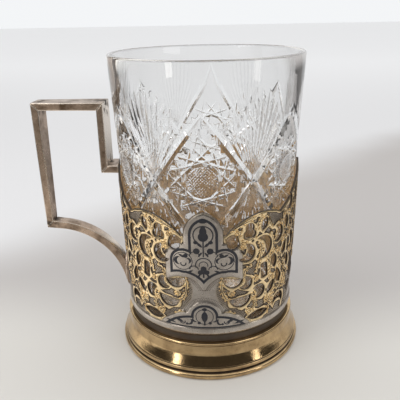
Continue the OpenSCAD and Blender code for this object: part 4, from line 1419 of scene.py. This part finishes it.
def lens():
    """Fine grooves both ways over the disc in the middle of the star."""
    for k in range(-HATCH_SIDE, HATCH_SIDE + 1):
        off = HATCH_APART * k
        half = math.sqrt(LENS_R ** 2 - off ** 2)
        for d in (-1, 1):
            x, z = off * d * DIAGONAL, LENS_Z + off * DIAGONAL
            dx, dz = half * DIAGONAL, -d * half * DIAGONAL
            yield Groove(x - dx, z - dz, x + dx, z + dz, HATCH_APART, 0.02, 0.98, 0.16, 0)


def round_the_wall(cuts):
    """The grooves of one sixth with those of its two neighbours, as far as they reach in."""
    for groove in cuts:
        for shift in (-2 * HALF_SIXTH, 0, 2 * HALF_SIXTH):
            x0, x1 = groove.x0 + shift, groove.x1 + shift
            if min(x0, x1) < HALF_SIXTH + 2 and max(x0, x1) > -HALF_SIXTH - 2:
                yield groove._replace(x0=x0, x1=x1)


beside = [groove for side in (-1, 1) for family in (bars, fan) for groove in family(side)]
one_sixth = [*beside, *star(), *lens()]
grooves = list(round_the_wall(one_sixth))
print("grooves in one sixth:", len(one_sixth), "and with its neighbours:", len(grooves))

# %% [markdown]
# The flat sixth is divided into triangles so that every valley and every edge of a groove is an edge of
# the mesh. A groove then has two clean flat sides, which is what makes crystal sparkle. Faces in a groove
# are left unsmoothed by the mark that the rolling tree reads. Points are sunk by the deepest groove over
# them.

# %% Depth and lines of the grooves
SPLIT, SHALLOW = 1.6, 0.0005


def course(groove):
    """The length and the direction of a groove."""
    length = math.hypot(groove.x1 - groove.x0, groove.z1 - groove.z0)
    return length, (groove.x1 - groove.x0) / length, (groove.z1 - groove.z0) / length


def depth_of(x, z):
    depth = np.zeros_like(x)
    for groove in grooves:
        length, ux, uz = course(groove)
        t = ((x - groove.x0) * ux + (z - groove.z0) * uz) / length
        off = np.abs((x - groove.x0) * uz - (z - groove.z0) * ux)
        full = (0, groove.full_from, groove.full_to, 1)
        half = np.interp(t, full, (0, groove.width / 2, groove.width / 2, 0))
        depth = np.maximum(depth, groove.slope * (1 - groove.fade * np.clip(t, 0, 1)) * (half - off))
    return depth


def strokes_of(groove):
    """The valley and the two edges of a groove, as lines of points that are not too far apart."""
    length, ux, uz = course(groove)
    half = groove.width / 2
    for side in (-1, 0, 1):
        turns = [(groove.full_from, side), (groove.full_to, side)] if side else []
        line = [(groove.x0 + ux * t * length + uz * k * half, groove.z0 + uz * t * length - ux * k * half)
                for t, k in [(0, 0), *turns, (1, 0)]]
        fine = []
        for (px, pz), (qx, qz) in zip(line, line[1:]):
            steps = max(1, int(math.hypot(qx - px, qz - pz) / SPLIT))
            fine += [(px + (qx - px) * k / steps, pz + (qz - pz) * k / steps) for k in range(steps)]
        yield fine + [line[-1]]


def clipped(p, q):
    """The part of a line inside the flat sixth, or nothing."""
    low, high = 0.0, 1.0
    (px, pz), (qx, qz) = p, q
    for start, way, limit in ((px, qx - px, HALF_SIXTH), (-px, px - qx, HALF_SIXTH),
                              (pz, qz - pz, GLASS_TOP), (-pz, pz - qz, -GLASS_LOW)):
        if abs(way) < 1e-9:
            if start > limit:
                return None
        elif way > 0:
            high = min(high, (limit - start) / way)
        else:
            low = max(low, (limit - start) / way)
    if high - low < 1e-6:
        return None
    return [(px + (qx - px) * t, pz + (qz - pz) * t) for t in (low, high)]


middle = np.linspace(GLASS_LOW, GLASS_TOP, 500)
print("deepest cut on the middle line:", round(float(depth_of(0 * middle, middle).max()), 2), "mm")

# %% [markdown]
# The border of the sixth has points at equal steps, so that the six copies and the turned rim and base
# meet it point by point.

# %% One sixth of the wall
COLUMNS, ROWS, SAME_PLACE, SIDE_SNAP = 25, 49, 0.0005, 0.002


def sixth_mesh():
    points, edges = [], []

    def draw(run):
        for p, q in zip(run, run[1:]):
            part = clipped(p, q)
            if part:
                edges.append((len(points), len(points) + 1))
                points.extend(part)
    for groove in grooves:
        for run in strokes_of(groove):
            draw(run)
    columns = np.linspace(-HALF_SIXTH, HALF_SIXTH, COLUMNS)
    heights = np.linspace(GLASS_LOW, GLASS_TOP, ROWS)
    for x in (columns[0], columns[-1]):
        draw([(x, h) for h in heights])
    for h in (heights[0], heights[-1]):
        draw([(x, h) for x in columns])
    points.extend((x, h) for x in columns[1:-1] for h in heights[1:-1])
    flat, _, faces, *_ = delaunay_2d_cdt([Vector(p) for p in points], edges, [], 0, SAME_PLACE)
    x, h = np.array([tuple(p) for p in flat]).T
    x = np.where(np.abs(np.abs(x) - HALF_SIXTH) < SIDE_SNAP, np.sign(x) * HALF_SIXTH, x)
    mesh = mesh_of(np.stack([x, np.clip(depth_of(x, h), 0, None), h], -1), (), faces)
    table = np.array(faces)
    write_mark(mesh, "wall", depth_of(x[table].mean(1), h[table].mean(1)) > SHALLOW, "FACE")
    return mesh


sixth = sixth_mesh()
print("triangles in one sixth:", len(sixth.polygons))

# %% [markdown]
# A tree rolls the sixth up with the tree for the sleeve, copies it six times round the axis and joins the
# seams.

# %% The wall all round
def make_round():
    given_to_roll = ("Foot Radius", "Spread", "Foot Height", "Peak Height", "Developed Radius")
    sizes = (GLASS_FOOT_R, GLASS_RIM_R - GLASS_FOOT_R, GLASS_FOOT_Z, GLASS_RIM_Z, GLASS_ROLL)
    group, given, out = new_group(
        "round", "GeometryNodeTree",
        [("Flat", "Geometry"), *((label, "Float", size * MM) for label, size in zip(given_to_roll, sizes)),
         ("Count", "Int", SIXTHS), ("Finish", "Material")], [("Wall", "Geometry")])
    values = {label: given[label] for label in ("Flat", *given_to_roll, "Finish")}
    one = socket(group, "GeometryNodeGroup", {"Neck In": 0.0, **values}, node_tree=roll)
    share = maths(group, "DIVIDE", socket(group, "GeometryNodeInputIndex"), given["Count"])
    spin = socket(group, "ShaderNodeCombineXYZ", {"Z": maths(group, "MULTIPLY", share, FULL_TURN)})
    spots = socket(group, "GeometryNodePoints", {"Count": given["Count"]})
    turned = {"Points": spots, "Instance": one, "Rotation": spin}
    copies = socket(group, "GeometryNodeInstanceOnPoints", turned)
    real = socket(group, "GeometryNodeRealizeInstances", {"Geometry": copies})
    merged = socket(group, "GeometryNodeMergeByDistance", {"Geometry": real, "Distance": 0.004 * MM})
    return close_tree(group, given, out, merged)


wall = worked_out(sixth, make_round(), Finish=crystal)
print("triangles in the whole wall:", len(wall.polygons))

# %% [markdown]
# The polished rim with the plain inner wall, and the thick base, are turned on the lathe with as many
# steps as the wall has points round its edge. The three are then closed to one mesh along rings of equal
# points.

# %% The whole glass
GLASS_STEPS, SEAM, WELL_Z = SIXTHS * (COLUMNS - 1), 0.01 * MM, 21.3
LIP = [(glass_r(GLASS_TOP), GLASS_TOP), (35.66, 114.6), (35.45, 114.9), (35.1, GLASS_RIM_Z), (34.75, 114.95),
       (34.45, 114.7), (34.3, 114.3)]
INNER_WALL = [(33.75, 111), (32.91, 108), (30.9, 72), (28.3, 25.2), (27.9, 23.6), (27.2, 22.3), (25.9, 21.5),
              (24.0, WELL_Z), (23.2, WELL_Z), (12.0, WELL_Z), (0, WELL_Z)]
BASE = [(0, GLASS_FOOT_Z), (14.0, GLASS_FOOT_Z), (26.9, GLASS_FOOT_Z), (27.6, GLASS_FOOT_Z), (28.9, 15.1),
        (29.8, 15.8), (glass_r(GLASS_LOW), GLASS_LOW)]


def close_glass():
    inside, base = (turned_mesh(line, GLASS_STEPS, crystal) for line in (LIP + INNER_WALL, BASE))
    work = bmesh.new()
    for mesh in (wall, inside, base):
        work.from_mesh(mesh)
    bmesh.ops.remove_doubles(work, verts=work.verts, dist=SEAM)
    bmesh.ops.recalc_face_normals(work, faces=work.faces)
    print("open edges of the glass:", sum(1 for e in work.edges if len(e.link_faces) != 2))
    mesh = bpy.data.meshes.new("cut_glass")
    work.to_mesh(mesh)
    work.free()
    mesh.materials.clear()
    mesh.materials.append(crystal)
    settle("cut_glass", mesh, "glass", "crystal", "tea_glass")


close_glass()

# %% [markdown]
# ## The table
# The floor is one pale sheet whose colour carries painted light and shade: lit in front of the holder, a
# band of painted shadow behind it that ends along a slanting line, and brighter further back, as paper is
# under a lamp. Polished metal shows what stands round it, which in a studio is a bright card on one side
# and much that is dark. So rays that leave a mirroring surface, and only these, see painted reflections in
# the floor's colour: a bright patch on the left of the table, a darker spot close in front of the foot,
# and a table that ends in the dark.

# %% The floor
FLOOR_HALF = 4.0
NEAR_LIT, NEAR_SHADED = (0.66, 0.64, 0.605, 1), (0.51, 0.485, 0.47, 1)
FAR_LIT, FAR_BRIGHT = (0.74, 0.735, 0.74, 1), (0.93, 0.93, 0.935, 1)
PAINTED_CARD_REFLECTION, PAINTED_DARK_REFLECTION = (0.97, 0.93, 0.87, 1), (0.03, 0.028, 0.026, 1)


def make_floor():
    material, tree, surface = new_material("paper", Roughness=0.9)
    where = object_place(tree)
    x, y = parts(tree, where)[0], parts(tree, where)[1]
    blotch = maths(tree, "MULTIPLY_ADD", noise(tree, where, 5.0, 3.0), 0.10, -0.05)
    slant = maths(tree, "ADD", maths(tree, "MULTIPLY_ADD", x, -0.9, y), blotch)
    # Painted light in front of the holder and painted shadow behind it, ended by the slanting line.
    near = mix(tree, ramp(tree, y, -0.02, 0.05), NEAR_LIT, NEAR_SHADED)
    far = mix(tree, ramp(tree, y, 0.3, 1.2), FAR_LIT, FAR_BRIGHT)
    paper = mix(tree, ramp(tree, slant, 0.13, 0.24), near, far)
    # A painted reflection of a bright card, for mirroring rays only.
    card = maths(tree, "MULTIPLY", ramp(tree, x, -0.045, -0.08), ramp(tree, y, 0.2, 0.08))
    paper = mix(tree, maths(tree, "MULTIPLY", card, mirror_ray(tree)), paper, PAINTED_CARD_REFLECTION)
    away = add(tree, "ShaderNodeVectorMath", {0: where}, operation="LENGTH").outputs["Value"]
    # Painted reflections of dark beyond the table and close before the foot, for mirroring rays only.
    beyond = maths(tree, "MULTIPLY", ramp(tree, away, 0.15, 0.24), ramp(tree, y, 0.45, 0.15))
    middle = ramp(tree, maths(tree, "ABSOLUTE", x), 0.12, 0.0)
    painted_dark_spot = maths(tree, "MULTIPLY", maths(tree, "MULTIPLY", middle, ramp(tree, y, -0.03, -0.07)), 0.45)
    dark = maths(tree, "MULTIPLY", maths(tree, "MAXIMUM", beyond, painted_dark_spot), mirror_ray(tree))
    feed(tree, surface, Base_Color=mix(tree, dark, paper, PAINTED_DARK_REFLECTION))
    corners = [(x, y, 0) for x, y in ((-1, -1), (1, -1), (1, 1), (-1, 1))]
    mesh = mesh_of(np.array(corners) * FLOOR_HALF / MM, (), [(0, 1, 2, 3)])
    mesh.materials.append(material)
    floor = bpy.data.objects.new("floor", mesh)
    bpy.context.scene.collection.objects.link(floor)
    return floor


floor = make_floor()
print("floor:", [round(side, 2) for side in floor.dimensions], "m")

# %% [markdown]
# ## The light
# Two large soft lamps stand left and right in front, and a wide one hangs above. Two narrow low ones are
# there for the sake of the polished foot, which shows them as upright flashes. The camera doesn't see
# these two, not through the glass either. A lamp has its name, its place in metres, its width, its height
# and its power.

# %% The lamps
LAMPS = (("lamp_left", (-0.50, -0.34, 0.62), 0.35, 0.45, 1.3),
         ("lamp_right", (0.55, -0.42, 0.60), 0.35, 0.45, 0.7),
         ("lamp_above", (0.0, 0.35, 0.95), 1.1, 0.8, 1.0))
CARDS = (("card_left", (-0.30, -0.40, 0.10), 0.07, 0.26, 0.24),
         ("card_right", (0.42, -0.25, 0.10), 0.07, 0.26, 0.14))
LAMP_AIM, CARD_AIM, WHITE, WARM = (0, 0, 0.05), (0, 0, 0.03), (1, 1, 1), (1, 0.97, 0.92)


def lamp(name, place, width, height, power, aim, colour):
    data = bpy.data.lights.new(name, "AREA")
    data.shape = "RECTANGLE"
    data.size, data.size_y, data.energy, data.color = width, height, power, colour
    made = bpy.data.objects.new(name, data)
    made.location = place
    made.rotation_euler = (Vector(aim) - Vector(place)).to_track_quat("-Z", "Y").to_euler()
    bpy.context.scene.collection.objects.link(made)
    return made


for row in LAMPS:
    lamp(*row, LAMP_AIM, WHITE)
for row in CARDS:
    card = lamp(*row, CARD_AIM, WARM)
    card.visible_camera = card.visible_transmission = False
print("lamps:", sum(thing.type == "LIGHT" for thing in bpy.context.scene.objects))

# %% [markdown]
# The room is pale, and a little darker and warmer towards the camera. Mirroring surfaces alone see its
# lower part dark, except straight behind the holder.

# %% The room
COOL_LIGHT, WARM_LIGHT, DARK_ROOM = (0.95, 0.965, 0.98, 1), (0.84, 0.83, 0.82, 1), (0.06, 0.055, 0.05, 1)


def make_room():
    world = bpy.data.worlds.new("room")
    bpy.context.scene.world = world
    world.use_nodes = True
    tree, sky = world.node_tree, world.node_tree.nodes["Background"].inputs
    way = parts(tree, add(tree, "ShaderNodeTexCoord").outputs["Generated"])
    low = maths(tree, "MULTIPLY", ramp(tree, way["Z"], 0.62, 0.30), ramp(tree, way["Y"], 0.85, 0.5))
    dark = maths(tree, "MULTIPLY", low, mirror_ray(tree))
    light = mix(tree, ramp(tree, way["Y"], 0.2, -0.6), COOL_LIGHT, WARM_LIGHT)
    tree.links.new(mix(tree, dark, light, DARK_ROOM), sky["Color"])
    sky["Strength"].default_value = 0.95
    return world


print("world:", make_room().name)
